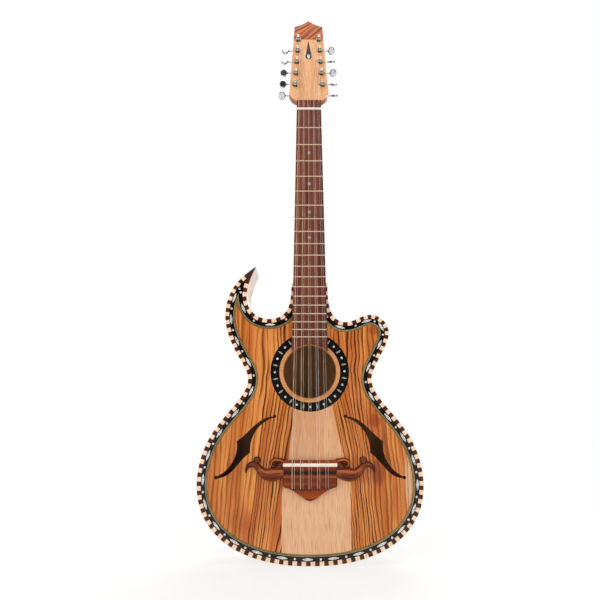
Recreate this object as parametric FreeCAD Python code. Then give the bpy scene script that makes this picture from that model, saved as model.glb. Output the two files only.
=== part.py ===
"""Ten-string, five-course long-necked lute with a horned cutaway body, as separate pieces.

Frame: +Z runs up the neck, the face looks along -Y, +X is the treble side. The origin is the
middle of the overall box, at its bottom. All sizes are in millimetres.
"""
import FreeCAD, Part
import functools
import math
import os

V = FreeCAD.Vector

# ---------------------------------------------------------------- driving dimensions
SCALE_LENGTH = 650.0          # nut face to saddle
FRET_COUNT = 19
BODY_DEPTH = 85.0
STRING_TOP = 11.6             # highest string surface over the soundboard, at the saddle
FACE_Y = -(BODY_DEPTH - STRING_TOP) / 2.0

NUT_Z = 811.0                 # nut face towards the body
SADDLE_Z = NUT_Z - SCALE_LENGTH
NECK_JOINT_Z = 476.0
SOUNDHOLE_Z = 317.5
SOUNDHOLE_R = 46.4

# outline of the body, X and Z, seen from the front
OUTER_EDGE = [(-97, 506), (-117.2, 490), (-136.2, 468), (-147.3, 440), (-148.8, 405),
              (-140.5, 375), (-122.5, 340), (-107.3, 304), (-118.5, 275), (-143.5, 244),
              (-171.5, 205), (-187.5, 162), (-190.8, 126), (-182.5, 86), (-150, 42.5),
              (-88, 11), (0, 0), (88, 11), (150, 42.5), (182.5, 86), (190.8, 126),
              (187.5, 162), (171.5, 205), (143.5, 244), (118.5, 275), (107.3, 304),
              (116, 330), (131, 359), (139.7, 388), (134, 404), (123, 414), (108.5, 418),
              (92.6, 414.5), (78, 408), (63, 405), (47, 411), (38, 424.5), (33.3, 445), (31.5, 476)]
CUTAWAY_EDGE = [(-31.5, 476), (-33.5, 450), (-41.5, 424.5), (-55.4, 413.5), (-73, 410.5),
                (-93, 416), (-106.5, 430), (-112.8, 451), (-110, 473), (-97, 506)]
CURVE_STEP = 8.0              # spacing of the points that carry an inset curve
HORN_TIP_LENGTH = 27.0        # solid tip, measured along the edge

# rim and decoration
RIB = 2.4
RIB_JOINTS = [-10.0, 30.0, 126.0, 215.0, 304.0, 390.0, 440.0, 560.0]    # heights of the ribs' joints
BINDING_WIDTH = 6.8
BINDING_DEEP = 6.0
BLOCK_LENGTH = 7.5
BLACK_WIDTH = 6.8
PURFLING_LINES = [0.5, 1.5, 0.6, 1.1, 0.6]      # dark, gold, dark, gold, dark
INLAY_DEEP = 1.6
PEARL_DEEP = 0.8
PEARL_PITCH = 21.5
PEARL_LENGTH = 19.0
PEARL_WIDE = 4.4
PEARL_DOT_R = 1.9
LINING_IN = 8.5
LINING_DEEP = 10.0
TOP_THICK = 3.0
BACK_THICK = 3.0
BACK_BINDING_DEEP = 6.0

# rosette
RING_R = 53.0
ROSETTE_R = 68.5
ROSETTE_COUNT = 16

# soundboard wedge edges, X and Z, bass then treble
WEDGE_BASS = [(-24, 317.5), (-27.5, 251), (-36, 175), (-47.5, 112), (-47.5, -5)]
WEDGE_TREBLE = [(67.5, -5), (67.5, 131), (57.5, 171), (40, 251), (33, 317.5)]

# flame-shaped sound slots, treble side, X and Z, from end to barb and back
SLOT_UPPER_OUT = [(62, 241), (88, 231.7), (106, 215.3), (125, 199.5)]
SLOT_LOWER_OUT = [(125, 199.5), (126.5, 176.5), (139.5, 154.2), (157.5, 141.5)]
SLOT_LOWER_IN = [(156.5, 138.7), (136.5, 146.2), (120, 163.3), (102, 180.5)]
SLOT_UPPER_IN = [(102, 180.5), (98.5, 205), (86.5, 224.2), (61.5, 239)]
SLOT_EYES = [(60.6, 241.2), (158.9, 139.8)]
SLOT_EYE_R = 3.0

# neck, fingerboard and head
NUT_HALF = 23.0
JOINT_HALF = 29.2
BOARD_THICK = 6.0
BOARD_END_GAP = 1.0
NECK_DEEP_NUT = 20.0
NECK_DEEP_JOINT = 24.0
THROAT_UP = 26.0              # where the neck's round back fades into the head
THROAT_HALF = 20.0
THROAT_DEEP = 17.0
THROAT_BACK = 5.5
HEEL = [(54, 24.0), (40, 28.0), (24, 43.0), (10, 66.0), (0, 82.0)]    # above the joint, depth
NUT_THICK = 4.0
NUT_TOP = 8.2
NUT_GROOVE = 7.2
STRIP_LENGTH = 18.0
STRIP_THICK = 3.5
HEAD_ANGLE = 9.0
HEAD_LENGTH = 194.0
HEAD_THICK = 14.0
PLATE_THICK = 2.5
CROWN_FROM = 146.6
BREAK_Z = NUT_Z + NUT_THICK + STRIP_LENGTH
BEAD_LONG = 11.0
BEAD_WIDE = 5.4
BEAD_U = 104.5
FRET_CROWN_R = 1.1
FRET_TANG = 0.6
FRET_TANG_DEEP = 1.8
MARKED_FRETS = [3, 5, 7, 9]
MARKER_R = 3.0

# tuners, in the head's own plane
TUNERS_PER_SIDE = 5
FIRST_POST = 36.0             # distance up the head of the lowest post
POST_STEP = 27.65
POST_X_LOW = 26.0
POST_X_HIGH = 20.5
POST_R = 3.0
BUSH_R = 5.2
RUNNING = 0.05
GEAR_TEETH = 15
GEAR_R = 5.9
WORM_R = 2.9
TOOTH_OUT = 0.7
TOOTH_IN = 0.85
TOOTH_HALF = 0.41
FLANK = math.tan(math.radians(20.0))
WORM_PITCH = 2.0 * math.pi * GEAR_R / GEAR_TEETH
WORM_TURNS = 4
WORM_DROP = GEAR_R + WORM_R
WORM_Y = HEAD_THICK + 5.2
GEAR_THICK = 3.0
HOUSING_HALF = 8.8
HOUSING_DEEP = 10.5
BUTTON_OUT = 26.0
BUTTON_HALF = (6.9, 8.4, 3.0)    # half width along the shaft, half length, half thickness
BUTTON_ROUND = 2.5
KEY_TURNS = [52, 14, 8, -20, 0, 128, 136, 30, 131, 38]    # how far each key stands turned

# strings
COURSE_SADDLE = [-28.2, -14.1, 0.0, 14.1, 28.2]
COURSE_NUT = [-18.0, -9.0, 0.0, 9.0, 18.0]
PAIR_SADDLE = 2.0
PAIR_NUT = 1.15
STRING_R = [(0.55, 0.28), (0.48, 0.24), (0.38, 0.20), (0.22, 0.22), (0.16, 0.16)]
SADDLE_TOP = 10.4
WIND_R = 3.7
WIND_Y = -8.0

# bridge
BRIDGE_HALF = 45.5
BRIDGE_TOP_Z = 168.6
RAIL_HIGH = 8.6
SADDLE_THICK = 5.6
GROOVE_Z = (143.8, 155.2)
GROOVE_HIGH = 3.6
TIE_Z = 124.0
TIE_HIGH = 7.6
LOBE_HIGH = 4.6
LOBE = [(-43, 124), (-23, 115.5), (-10, 106.4), (0, 102.7), (10, 106.4), (23, 115.5), (43, 124)]
WING_HIGH = 6.5
WING = [(-45.5, 168.8), (-58.5, 172.8), (-67, 167), (-67.2, 155.5), (-77, 151.8), (-85, 160),
        (-87.2, 170), (-91.5, 174.6), (-96.4, 169.5), (-104.5, 163), (-110.6, 154), (-109, 146.5),
        (-105, 154), (-98, 156.5), (-87, 146.5), (-76, 137.3), (-65.5, 133.7), (-54, 137.2),
        (-45.5, 145.5)]

# hidden structure
DOUBLER_HALF = 60.0
DOUBLER_HOLE = 45.0
BRACE_HALF = 4.0
BRACE_DEEP = 12.0
BLOCK_HALF = 31.5 - RIB
NECK_BLOCK_Z = 424.0
TAIL_HALF = 45.0
TAIL_Z = 19.0
TOP_BAR_Z = [384.0, 256.0]
FAN_X = [-36.0, 0.0, 36.0]
BACK_BAR_Z = [390.0, 255.0, 115.0, 60.0]
FAR = 400.0


# ---------------------------------------------------------------- small helpers
def at(x, z, high=0.0):
    """Point at height `high` in front of the soundboard's plane."""
    return V(x, FACE_Y - high, z)


def spline(points):
    curve = Part.BSplineCurve()
    curve.interpolate(Points=[at(x, z) for x, z in points])
    return curve.toShape()


def polyline(points):
    places = [at(x, z) for x, z in points]
    return [Part.LineSegment(a, b).toShape() for a, b in zip(places, places[1:])]


def outline_face(edges):
    face = Part.Face(Part.Wire(Part.__sortEdges__(edges)))
    if not face.isValid():
        face.fix(1e-3, 1e-4, 1e-2)
    return face


def slab(area, deep_from, deep_to):
    """Plate over a flat area, between two depths behind the soundboard's face."""
    area = area.copy()
    area.translate(V(0, deep_from, 0))
    return area.extrude(V(0, deep_to - deep_from, 0))


def plate(edges, deep_from, deep_to):
    return slab(outline_face(edges), deep_from, deep_to)


def rectangle(x0, x1, z0, z1):
    corners = [(x0, z0), (x1, z0), (x1, z1), (x0, z1), (x0, z0)]
    return outline_face(polyline(corners))


def block(x0, x1, z0, z1, deep_from, deep_to):
    return Part.makeBox(x1 - x0, deep_to - deep_from, z1 - z0, V(x0, FACE_Y + deep_from, z0))


def rod(x, z, radius, deep_from, deep_to):
    return Part.makeCylinder(radius, deep_to - deep_from, V(x, FACE_Y + deep_from, z), V(0, 1, 0))


def tube_ring(x, z, r_out, r_in, deep_from, deep_to):
    return rod(x, z, r_out, deep_from, deep_to).cut(rod(x, z, r_in, deep_from, deep_to))


def solids_of(shapes):
    found = []
    for shape in shapes:
        found.extend(shape.Solids)
    return Part.makeCompound(found)


def on_head(shape):
    """Moves a shape from the head's own frame (x, depth, distance up) to its place."""
    shape = shape.copy()
    turn = FreeCAD.Rotation(V(1, 0, 0), -HEAD_ANGLE)
    shape.Placement = FreeCAD.Placement(V(0, FACE_Y, BREAK_Z), turn).multiply(shape.Placement)
    return shape


def cord(points, radius, bend):
    """Round cord along straight runs joined by tangent arcs."""
    edges = []
    start = points[0]
    for before, corner, after in zip(points, points[1:], points[2:]):
        way_in = (corner - before).normalize()
        way_out = (after - corner).normalize()
        half_turn = way_in.getAngle(way_out) / 2.0
        reach = bend * math.tan(half_turn)
        arc_from = corner - way_in * reach
        arc_to = corner + way_out * reach
        to_centre = (way_out - way_in).normalize()
        middle = corner + to_centre * (bend / math.cos(half_turn) - bend)
        edges.append(Part.LineSegment(start, arc_from).toShape())
        edges.append(Part.Arc(arc_from, middle, arc_to).toShape())
        start = arc_to
    edges.append(Part.LineSegment(start, points[-1]).toShape())
    first_way = points[1] - points[0]
    ring = Part.Wire(Part.makeCircle(radius, points[0], first_way))
    return Part.Wire(edges).makePipeShell([ring], True, False)


# ---------------------------------------------------------------- body outline and its bands
OUTER = spline(OUTER_EDGE)
CUTAWAY = spline(CUTAWAY_EDGE)
RIM = Part.Wire([OUTER] + polyline([OUTER_EDGE[-1], CUTAWAY_EDGE[0]]) + [CUTAWAY])


def redrawn(edge):
    """The same edge as one smooth curve in the soundboard's plane."""
    curve = Part.BSplineCurve()
    places = edge.discretize(Number=int(edge.Length / CURVE_STEP) + 3)
    curve.interpolate(Points=[at(p.x, p.z) for p in places])
    return curve.toShape()


@functools.lru_cache(maxsize=None)
def whole_area(inset):
    """Flat area inside the rim, moved inwards all round, horn and all."""
    if inset == 0:
        return outline_face(RIM.Edges)
    moved = RIM.makeOffset2D(-inset, join=0, fill=False, openResult=False, intersection=False)
    return outline_face([redrawn(edge) for edge in Part.__sortEdges__(moved.Edges)])


def station(edge, distance, inset):
    """Point at a distance along an edge of the rim, moved inwards; also its inward direction."""
    curve = edge.Curve
    place = curve.parameterAtDistance(distance, edge.FirstParameter)
    along = V(*curve.tangent(place)[0]).normalize()
    inward = V(-along.z, 0, along.x)
    return curve.value(place) + inward * inset, along, inward


def tip_area():
    """Area around the horn's tip, back to the last edging block on either side."""
    outer_out, _, _ = station(OUTER, HORN_TIP_LENGTH, 0)
    outer_in, _, _ = station(OUTER, HORN_TIP_LENGTH, BINDING_WIDTH)
    cut_out, _, _ = station(CUTAWAY, CUTAWAY.Length - HORN_TIP_LENGTH, 0)
    cut_in, _, _ = station(CUTAWAY, CUTAWAY.Length - HORN_TIP_LENGTH, BINDING_WIDTH)
    flare_left = outer_out + (outer_out - outer_in)
    flare_right = cut_out + (cut_out - cut_in)
    corners = [(p.x, p.z) for p in (flare_left, outer_out, outer_in, cut_in, cut_out, flare_right)]
    corners += [(-60, 540), (-150, 540)]
    return outline_face(polyline(corners + corners[:1]))


TIP_AREA = tip_area()


@functools.lru_cache(maxsize=None)
def rim_area(inset):
    """Area inside the inset rim, without the horn's solid tip."""
    return whole_area(inset).cut(TIP_AREA)


def band(inset_out, inset_in, deep_from, deep_to):
    return slab(rim_area(inset_out).cut(whole_area(inset_in)), deep_from, deep_to)


def horn_tip():
    """Dark cap on the face, and the solid block under it that closes the horn's walls."""
    area = whole_area(0).common(TIP_AREA)
    return solids_of([slab(area, 0, BINDING_DEEP), slab(area, BINDING_DEEP, BODY_DEPTH)])


# ---------------------------------------------------------------- edging, border and rosette
def edging_block(edge, start, end):
    corners = []
    for inset in (0, BINDING_WIDTH):
        corners.append([station(edge, d, inset)[0] for d in (start, (start + end) / 2, end)])
    (a, b, c), (d, e, f) = corners
    sides = [Part.Arc(a, b, c), Part.LineSegment(c, f), Part.Arc(f, e, d), Part.LineSegment(d, a)]
    face = Part.Face(Part.Wire([side.toShape() for side in sides]))
    return face.extrude(V(0, BINDING_DEEP, 0))


def edging():
    """Light and dark blocks in turn along both stretches of the rim."""
    groups = ([], [])
    stretches = [(OUTER, HORN_TIP_LENGTH, OUTER.Length), (CUTAWAY, 0, CUTAWAY.Length - HORN_TIP_LENGTH)]
    for edge, start, end in stretches:
        count = int(round((end - start) / BLOCK_LENGTH))
        step = (end - start) / count
        for i in range(count):
            piece = edging_block(edge, start + i * step, start + (i + 1) * step)
            groups[i % 2].append(piece)
    return solids_of(groups[0]), solids_of(groups[1])


def lens(centre, along, inward, length, width, deep):
    """Slender pointed inlay: two shallow arcs between its ends."""
    a = centre - along * (length / 2)
    b = centre + along * (length / 2)
    out = Part.Arc(a, centre - inward * (width / 2), b).toShape()
    back = Part.Arc(b, centre + inward * (width / 2), a).toShape()
    return Part.Face(Part.Wire([out, back])).extrude(V(0, deep, 0))


def border_pearls():
    pieces = []
    middle = BINDING_WIDTH + BLACK_WIDTH / 2
    margin = HORN_TIP_LENGTH + 24.0
    for edge, start, end in [(OUTER, margin, OUTER.Length - 14), (CUTAWAY, 14, CUTAWAY.Length - margin)]:
        count = int((end - start) / PEARL_PITCH)
        step = (end - start) / count
        for i in range(count + 1):
            centre, along, inward = station(edge, start + i * step, middle)
            if i % 2 == 0:
                dot = Part.makeCylinder(PEARL_DOT_R, PEARL_DEEP, centre, V(0, 1, 0))
                pieces.append(dot)
            else:
                pieces.append(lens(centre, along, inward, PEARL_LENGTH, PEARL_WIDE, PEARL_DEEP))
    return pieces


def rosette_pearls():
    pieces = []
    middle = (RING_R + ROSETTE_R) / 2
    for i in range(2 * ROSETTE_COUNT):
        angle = math.pi * (i + 0.07) / ROSETTE_COUNT
        out = V(math.cos(angle), 0, math.sin(angle))
        round_way = V(-out.z, 0, out.x)
        centre = at(0, SOUNDHOLE_Z) + out * middle
        if i % 2 == 0:
            pieces.append(Part.makeCylinder(PEARL_DOT_R, PEARL_DEEP, centre, V(0, 1, 0)))
        else:
            pieces.append(lens(centre, out, round_way, 9.5, 3.0, PEARL_DEEP))
    return pieces


def purfling():
    gold = []
    dark = []
    inset = BINDING_WIDTH + BLACK_WIDTH
    for i, width in enumerate(PURFLING_LINES):
        (dark, gold)[i % 2].append(band(inset, inset + width, 0, INLAY_DEEP))
        inset += width
    return solids_of(gold), solids_of(dark)


# ---------------------------------------------------------------- plates, ribs and inside
INSET_FACE = BINDING_WIDTH + BLACK_WIDTH + sum(PURFLING_LINES)


def sound_slot(side):
    """Flame-shaped slot with a pointed barb on each side and a round eye at each end."""
    parts = [SLOT_UPPER_OUT, SLOT_LOWER_OUT, SLOT_LOWER_IN, SLOT_UPPER_IN]
    edges = [spline([(side * x, z) for x, z in points]) for points in parts]
    edges += polyline([(side * x, z) for x, z in (SLOT_LOWER_OUT[-1], SLOT_LOWER_IN[0])])
    edges += polyline([(side * x, z) for x, z in (SLOT_UPPER_IN[-1], SLOT_UPPER_OUT[0])])
    slot = plate(edges, -1, TOP_THICK + 1)
    for x, z in SLOT_EYES:
        slot = slot.fuse(rod(side * x, z, SLOT_EYE_R, -1, TOP_THICK + 1))
    return slot


def soundboard():
    """Top plate, stepped for the border, cut for the holes, then parted along the wedge."""
    face_area = rim_area(INSET_FACE)
    under_area = rim_area(BINDING_WIDTH)
    wedge = outline_face(polyline(WEDGE_BASS + WEDGE_TREBLE + WEDGE_BASS[:1]))
    wide = (-10, 560)
    bass_side = rectangle(-FAR, 0, *wide).cut(wedge)
    treble_side = rectangle(0, FAR, *wide).cut(wedge)
    pieces = []
    for share, slot_side in ((bass_side, -1), (wedge, 0), (treble_side, 1)):
        skin = slab(face_area.common(share), 0, INLAY_DEEP)
        piece = skin.fuse(slab(under_area.common(share), INLAY_DEEP, TOP_THICK))
        piece = piece.cut(rod(0, SOUNDHOLE_Z, ROSETTE_R, -1, INLAY_DEEP))
        piece = piece.cut(rod(0, SOUNDHOLE_Z, SOUNDHOLE_R, -1, TOP_THICK + 1))
        if slot_side:
            piece = piece.cut(sound_slot(slot_side))
        pieces.append(piece)
    return pieces


def halves(area, deep_from, deep_to):
    """Bass half and treble half of a flat area, as plates."""
    bass = slab(area.common(rectangle(-FAR, 0, -10, 560)), deep_from, deep_to)
    treble = slab(area.common(rectangle(0, FAR, -10, 560)), deep_from, deep_to)
    return bass, treble


def back_plates():
    return halves(rim_area(RIB), BODY_DEPTH - BACK_THICK, BODY_DEPTH)


def ribs():
    """Bent side walls, open at the neck block, each half scarfed from lengths that meet at RIB_JOINTS."""
    wall = rim_area(0).cut(whole_area(RIB))
    wall = wall.cut(rectangle(-BLOCK_HALF, BLOCK_HALF, NECK_JOINT_Z - 5, NECK_JOINT_Z + 5))
    lengths = ([], [])
    for low, high in zip(RIB_JOINTS, RIB_JOINTS[1:]):
        area = wall.common(rectangle(-FAR, FAR, low, high))
        for group, piece in zip(lengths, halves(area, BINDING_DEEP, BODY_DEPTH - BACK_BINDING_DEEP)):
            group.append(piece)
    return solids_of(lengths[0]), solids_of(lengths[1])


def block_area(inset):
    """Neck block and tail block, as far as the inset rim."""
    neck_end = whole_area(inset).common(rectangle(-BLOCK_HALF, BLOCK_HALF, NECK_BLOCK_Z, 490))
    tail_end = whole_area(inset).common(rectangle(-TAIL_HALF, TAIL_HALF, 0, TAIL_Z))
    return neck_end, tail_end


def body_blocks():
    """Neck block and tail block, between the two plates."""
    low = BODY_DEPTH - BACK_THICK
    pieces = []
    for under_top, inside in zip(block_area(BINDING_WIDTH), block_area(RIB)):
        pieces.append(slab(under_top, TOP_THICK, BINDING_DEEP).fuse(slab(inside, BINDING_DEEP, low)))
    joint = rectangle(-BLOCK_HALF, BLOCK_HALF, NECK_JOINT_Z - RIB, NECK_JOINT_Z)
    pieces[0] = pieces[0].fuse(slab(joint, BINDING_DEEP, BODY_DEPTH - BACK_BINDING_DEEP)).removeSplitter()
    return solids_of(pieces)


def linings():
    """Strips glued inside the ribs along both plates, stopping at the blocks."""
    low = BODY_DEPTH - BACK_THICK
    wide = rim_area(RIB).cut(whole_area(LINING_IN))
    narrow = rim_area(BINDING_WIDTH).cut(whole_area(LINING_IN))
    for area in block_area(RIB):
        wide = wide.cut(area)
        narrow = narrow.cut(area)
    top = slab(wide, BINDING_DEEP, BINDING_DEEP + LINING_DEEP).fuse(slab(narrow, TOP_THICK, BINDING_DEEP))
    return solids_of([top, slab(wide, low - LINING_DEEP, low)])


def braces():
    """Two bars and three fan struts under the top, four bars and a centre strip on the back."""
    low = BODY_DEPTH - BACK_THICK
    inside = slab(rim_area(LINING_IN + 0.1), 0, BODY_DEPTH)
    pieces = []
    for z in TOP_BAR_Z:
        bar = block(-FAR, FAR, z - BRACE_HALF, z + BRACE_HALF, TOP_THICK, TOP_THICK + BRACE_DEEP)
        pieces.append(bar.common(inside))
    for x in FAN_X:
        strut = block(x - 3, x + 3, 40, 100, TOP_THICK, TOP_THICK + 7)
        pieces.append(strut)
    for z in BACK_BAR_Z:
        bar = block(-FAR, FAR, z - BRACE_HALF, z + BRACE_HALF, low - BRACE_DEEP, low)
        pieces.append(bar.common(inside))
    spans = [TAIL_Z + 1 - BRACE_HALF] + sorted(BACK_BAR_Z) + [NECK_BLOCK_Z - 1 + BRACE_HALF]
    for start, end in zip(spans, spans[1:]):
        pieces.append(block(-9, 9, start + BRACE_HALF, end - BRACE_HALF, low - 2, low))
    return solids_of(pieces)


def soundboard_patches():
    """Ring-shaped doubler behind the soundhole and a plate behind the bridge."""
    gap = BRACE_HALF + 0.2
    doubler = block(-DOUBLER_HALF, DOUBLER_HALF, TOP_BAR_Z[1] + gap, TOP_BAR_Z[0] - gap, TOP_THICK,
                    TOP_THICK + 2.0)
    doubler = doubler.cut(rod(0, SOUNDHOLE_Z, DOUBLER_HOLE, 0, BODY_DEPTH))
    plate_piece = block(-70, 70, 104, 172, TOP_THICK, TOP_THICK + 2.5)
    return solids_of([doubler, plate_piece])


# ---------------------------------------------------------------- neck, fingerboard and head
def half_width(z):
    """Half the fingerboard's width, tapering evenly from nut to joint and on."""
    share = (NUT_Z - z) / (NUT_Z - NECK_JOINT_Z)
    return NUT_HALF + (JOINT_HALF - NUT_HALF) * share


def round_back(z, half, deep, flat=0.0):
    """Closed D-shaped section across the neck, its flat side in the soundboard's plane."""
    shape = [(1.0, 0.0), (0.98, 0.22), (0.74, 0.72), (0.0, 1.0), (-0.74, 0.72), (-0.98, 0.22), (-1.0, 0.0)]
    curve = Part.BSplineCurve()
    curve.interpolate(Points=[at(x * half, z, -d * deep - flat) for x, d in shape])
    straight = Part.LineSegment(at(-half, z, -flat), at(half, z, -flat)).toShape()
    return Part.Wire([curve.toShape(), straight])


def head_outline():
    """Left half from the break up to the peak, then its mirror image."""
    side = [((-23, 0), (-30, 4.5), (-37.7, 17)), ((-37.7, 17), (-27.7, 179)),
            ((-27.7, 179), (-16, 183.5), (0, HEAD_LENGTH))]
    edges = []
    for sign in (1, -1):
        for points in side:
            places = [V(sign * x, 0, u) for x, u in points]
            if len(places) == 2:
                edges.append(Part.LineSegment(*places).toShape())
            else:
                edges.append(Part.Arc(*places).toShape())
    edges.append(Part.LineSegment(V(-23, 0, 0), V(23, 0, 0)).toShape())
    return Part.Wire(Part.__sortEdges__(edges))


def head_slab(deep_from, deep_to, low=-1.0, high=HEAD_LENGTH + 1.0):
    face = Part.Face(head_outline())
    face.translate(V(0, deep_from, 0))
    slab = face.extrude(V(0, deep_to - deep_from, 0))
    return slab.common(Part.makeBox(120, 60, high - low, V(-60, -20, low)))


def tuner_places():
    """Side, X and distance up the head of each tuner: bass side first, each from the nut up."""
    places = []
    for side in (-1, 1):
        for i in range(TUNERS_PER_SIDE):
            share = i / (TUNERS_PER_SIDE - 1)
            x = POST_X_LOW + (POST_X_HIGH - POST_X_LOW) * share
            places.append((side, side * x, FIRST_POST + i * POST_STEP))
    return places


def head_drilling():
    """Everything bored through the head: bush holes and housing screw holes."""
    bores = []
    for _, x, u in tuner_places():
        bores.append(Part.makeCylinder(BUSH_R, 30, V(x, -5, u), V(0, 1, 0)))
        bores.append(Part.makeCylinder(0.9, 8, V(x, HEAD_THICK - 8, u + 10.6), V(0, 1, 0)))
    return Part.makeCompound(bores)


def neck():
    shaft_low = NECK_JOINT_Z + HEEL[0][0]
    shaft = Part.makeLoft([round_back(BREAK_Z, NUT_HALF, NECK_DEEP_NUT),
                           round_back(shaft_low, half_width(shaft_low), NECK_DEEP_JOINT)], True, True)
    sections = []
    for up, deep in HEEL:
        z = NECK_JOINT_Z + up
        sections.append(round_back(z, half_width(z), deep))
    heel = Part.makeLoft(sections, True, False)
    head = on_head(head_slab(0, HEAD_THICK))
    low_end = round_back(BREAK_Z, NUT_HALF, NECK_DEEP_NUT)
    high_end = round_back(BREAK_Z + THROAT_UP, THROAT_HALF, THROAT_DEEP, THROAT_BACK)
    throat = Part.makeLoft([low_end, high_end], True, True)
    whole = shaft.fuse([heel, head, throat]).removeSplitter()
    behind_plate = on_head(Part.makeBox(120, 40, HEAD_LENGTH + 10, V(-60, -40, 0)))
    return whole.cut(behind_plate).cut(on_head(head_drilling()))


def fingerboard():
    low = SOUNDHOLE_Z
    corners = [(-half_width(low), low), (half_width(low), low), (NUT_HALF, NUT_Z), (-NUT_HALF, NUT_Z)]
    board = plate(polyline(corners + corners[:1]), -BOARD_THICK, 0)
    board = board.cut(rod(0, SOUNDHOLE_Z, SOUNDHOLE_R + BOARD_END_GAP, -BOARD_THICK - 1, 1))
    upper = block(-FAR, FAR, SOUNDHOLE_Z + 33, NUT_Z, -BOARD_THICK, 0)
    board = board.common(upper)
    for z in fret_lines():
        slot = block(-FAR, FAR, z - FRET_TANG / 2, z + FRET_TANG / 2, -BOARD_THICK - 1,
                     FRET_TANG_DEEP - BOARD_THICK)
        board = board.cut(slot)
    for dot in fret_markers():
        board = board.cut(dot)
    return board


def fret_lines():
    return [NUT_Z - SCALE_LENGTH * (1 - 2 ** (-n / 12)) for n in range(1, FRET_COUNT + 1)]


def fret_markers():
    lines = [NUT_Z] + fret_lines()
    dots = []
    for n in MARKED_FRETS:
        middle = (lines[n - 1] + lines[n]) / 2
        dots.append(rod(0, middle, MARKER_R, -BOARD_THICK, 1.0 - BOARD_THICK))
    return dots


def frets():
    pieces = []
    for z in fret_lines():
        half = half_width(z) - 0.4
        crown = Part.makeCylinder(FRET_CROWN_R, 2 * half, at(-half, z, BOARD_THICK), V(1, 0, 0))
        crown = crown.common(block(-half, half, z - 2, z + 2, -BOARD_THICK - 3, -BOARD_THICK))
        tang = block(-half, half, z - FRET_TANG / 2, z + FRET_TANG / 2, -BOARD_THICK,
                     FRET_TANG_DEEP - BOARD_THICK)
        pieces.append(crown.fuse(tang))
    return solids_of(pieces)


def nut(strings):
    bar = block(-NUT_HALF, NUT_HALF, NUT_Z, NUT_Z + NUT_THICK, -NUT_TOP, 0)
    edge = [e for e in bar.Edges if abs(e.CenterOfMass.y - (FACE_Y - NUT_TOP)) < 0.1]
    bar = bar.makeFillet(0.8, edge)
    for one in strings:
        bar = bar.cut(one)
    return bar


def nut_strip():
    return block(-NUT_HALF, NUT_HALF, NUT_Z + NUT_THICK, BREAK_Z, -STRIP_THICK, 0)


def teardrop(grow):
    """Point up at the crown's joint, round at the bottom."""
    radius = 6.8 + grow
    centre_u = 103.5
    tip = V(0, 0, CROWN_FROM + grow * 3)
    side = math.asin(radius / (tip.z - centre_u))
    touch_x = radius * math.cos(side)
    touch_u = centre_u + radius * math.sin(side)
    left = V(-touch_x, 0, touch_u)
    right = V(touch_x, 0, touch_u)
    round_end = Part.Arc(left, V(0, 0, centre_u - radius), right).toShape()
    edges = [round_end, Part.LineSegment(right, tip).toShape(), Part.LineSegment(tip, left).toShape()]
    return Part.Face(Part.Wire(edges))


def head_drop(deep):
    drop = teardrop(-0.6)
    drop.translate(V(0, -PLATE_THICK, 0))
    return drop.extrude(V(0, deep, 0))


def head_pearl():
    """Oval bead lying along the head, in the wide end of the teardrop."""
    upright = FreeCAD.Rotation(V(0, 0, 1), V(1, 0, 0), V(0, 1, 0))
    edge = Part.Ellipse(V(0, 0, 0), BEAD_LONG / 2, BEAD_WIDE / 2).toShape()
    edge.Placement = FreeCAD.Placement(V(0, -PLATE_THICK, BEAD_U), upright)
    return Part.Face(Part.Wire([edge])).extrude(V(0, PEARL_DEEP, 0))


def headplates():
    whole = head_slab(-PLATE_THICK, 0)
    whole = whole.cut(head_drilling())
    lower = whole.common(Part.makeBox(120, 10, CROWN_FROM + 1, V(-60, -5, -1)))
    crown = whole.common(Part.makeBox(120, 10, 60, V(-60, -5, CROWN_FROM)))
    return lower.cut(head_drop(1.2)), crown


# ---------------------------------------------------------------- tuners
def worm_thread():
    """Right-handed thread about +Z; its middle turn crosses +X at the origin."""
    inner = WORM_R - TOOTH_IN - 0.15
    outer = WORM_R + TOOTH_OUT
    half_in = TOOTH_HALF + (WORM_R - inner) * FLANK
    half_out = TOOTH_HALF - TOOTH_OUT * FLANK
    low = -WORM_TURNS * WORM_PITCH / 2
    corners = [V(inner, 0, low - half_in), V(outer, 0, low - half_out), V(outer, 0, low + half_out),
               V(inner, 0, low + half_in)]
    section = Part.makePolygon(corners + corners[:1])
    path = Part.makeHelix(WORM_PITCH, WORM_TURNS * WORM_PITCH, WORM_R)
    path.translate(V(0, 0, low))
    return Part.Wire(path).makePipeShell([section], True, True)


def turned(profile):
    """Solid of revolution about +Z from (radius, height) points."""
    places = [V(r, 0, z) for r, z in profile]
    face = Part.Face(Part.makePolygon(places + places[:1]))
    return face.revolve(V(0, 0, 0), V(0, 0, 1), 360)


def key_blank():
    """Worm, shaft, collar and button about +Z, button outwards."""
    root = WORM_R - TOOTH_IN
    bearing = 2.0
    shaft = turned([(0, -8.2), (1.5, -8.2), (1.5, -6.7), (root, -6.7), (root, 6.7), (bearing, 6.7),
                    (bearing, HOUSING_HALF + 0.4), (3.1, HOUSING_HALF + 0.4), (3.1, HOUSING_HALF + 1.6),
                    (2.5, HOUSING_HALF + 2.2), (1.7, HOUSING_HALF + 2.6), (1.7, 17.6), (2.4, 20.0),
                    (2.4, BUTTON_OUT - 2), (0, BUTTON_OUT - 2)])
    return shaft.fuse(worm_thread()).fuse(button_blank())


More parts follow.
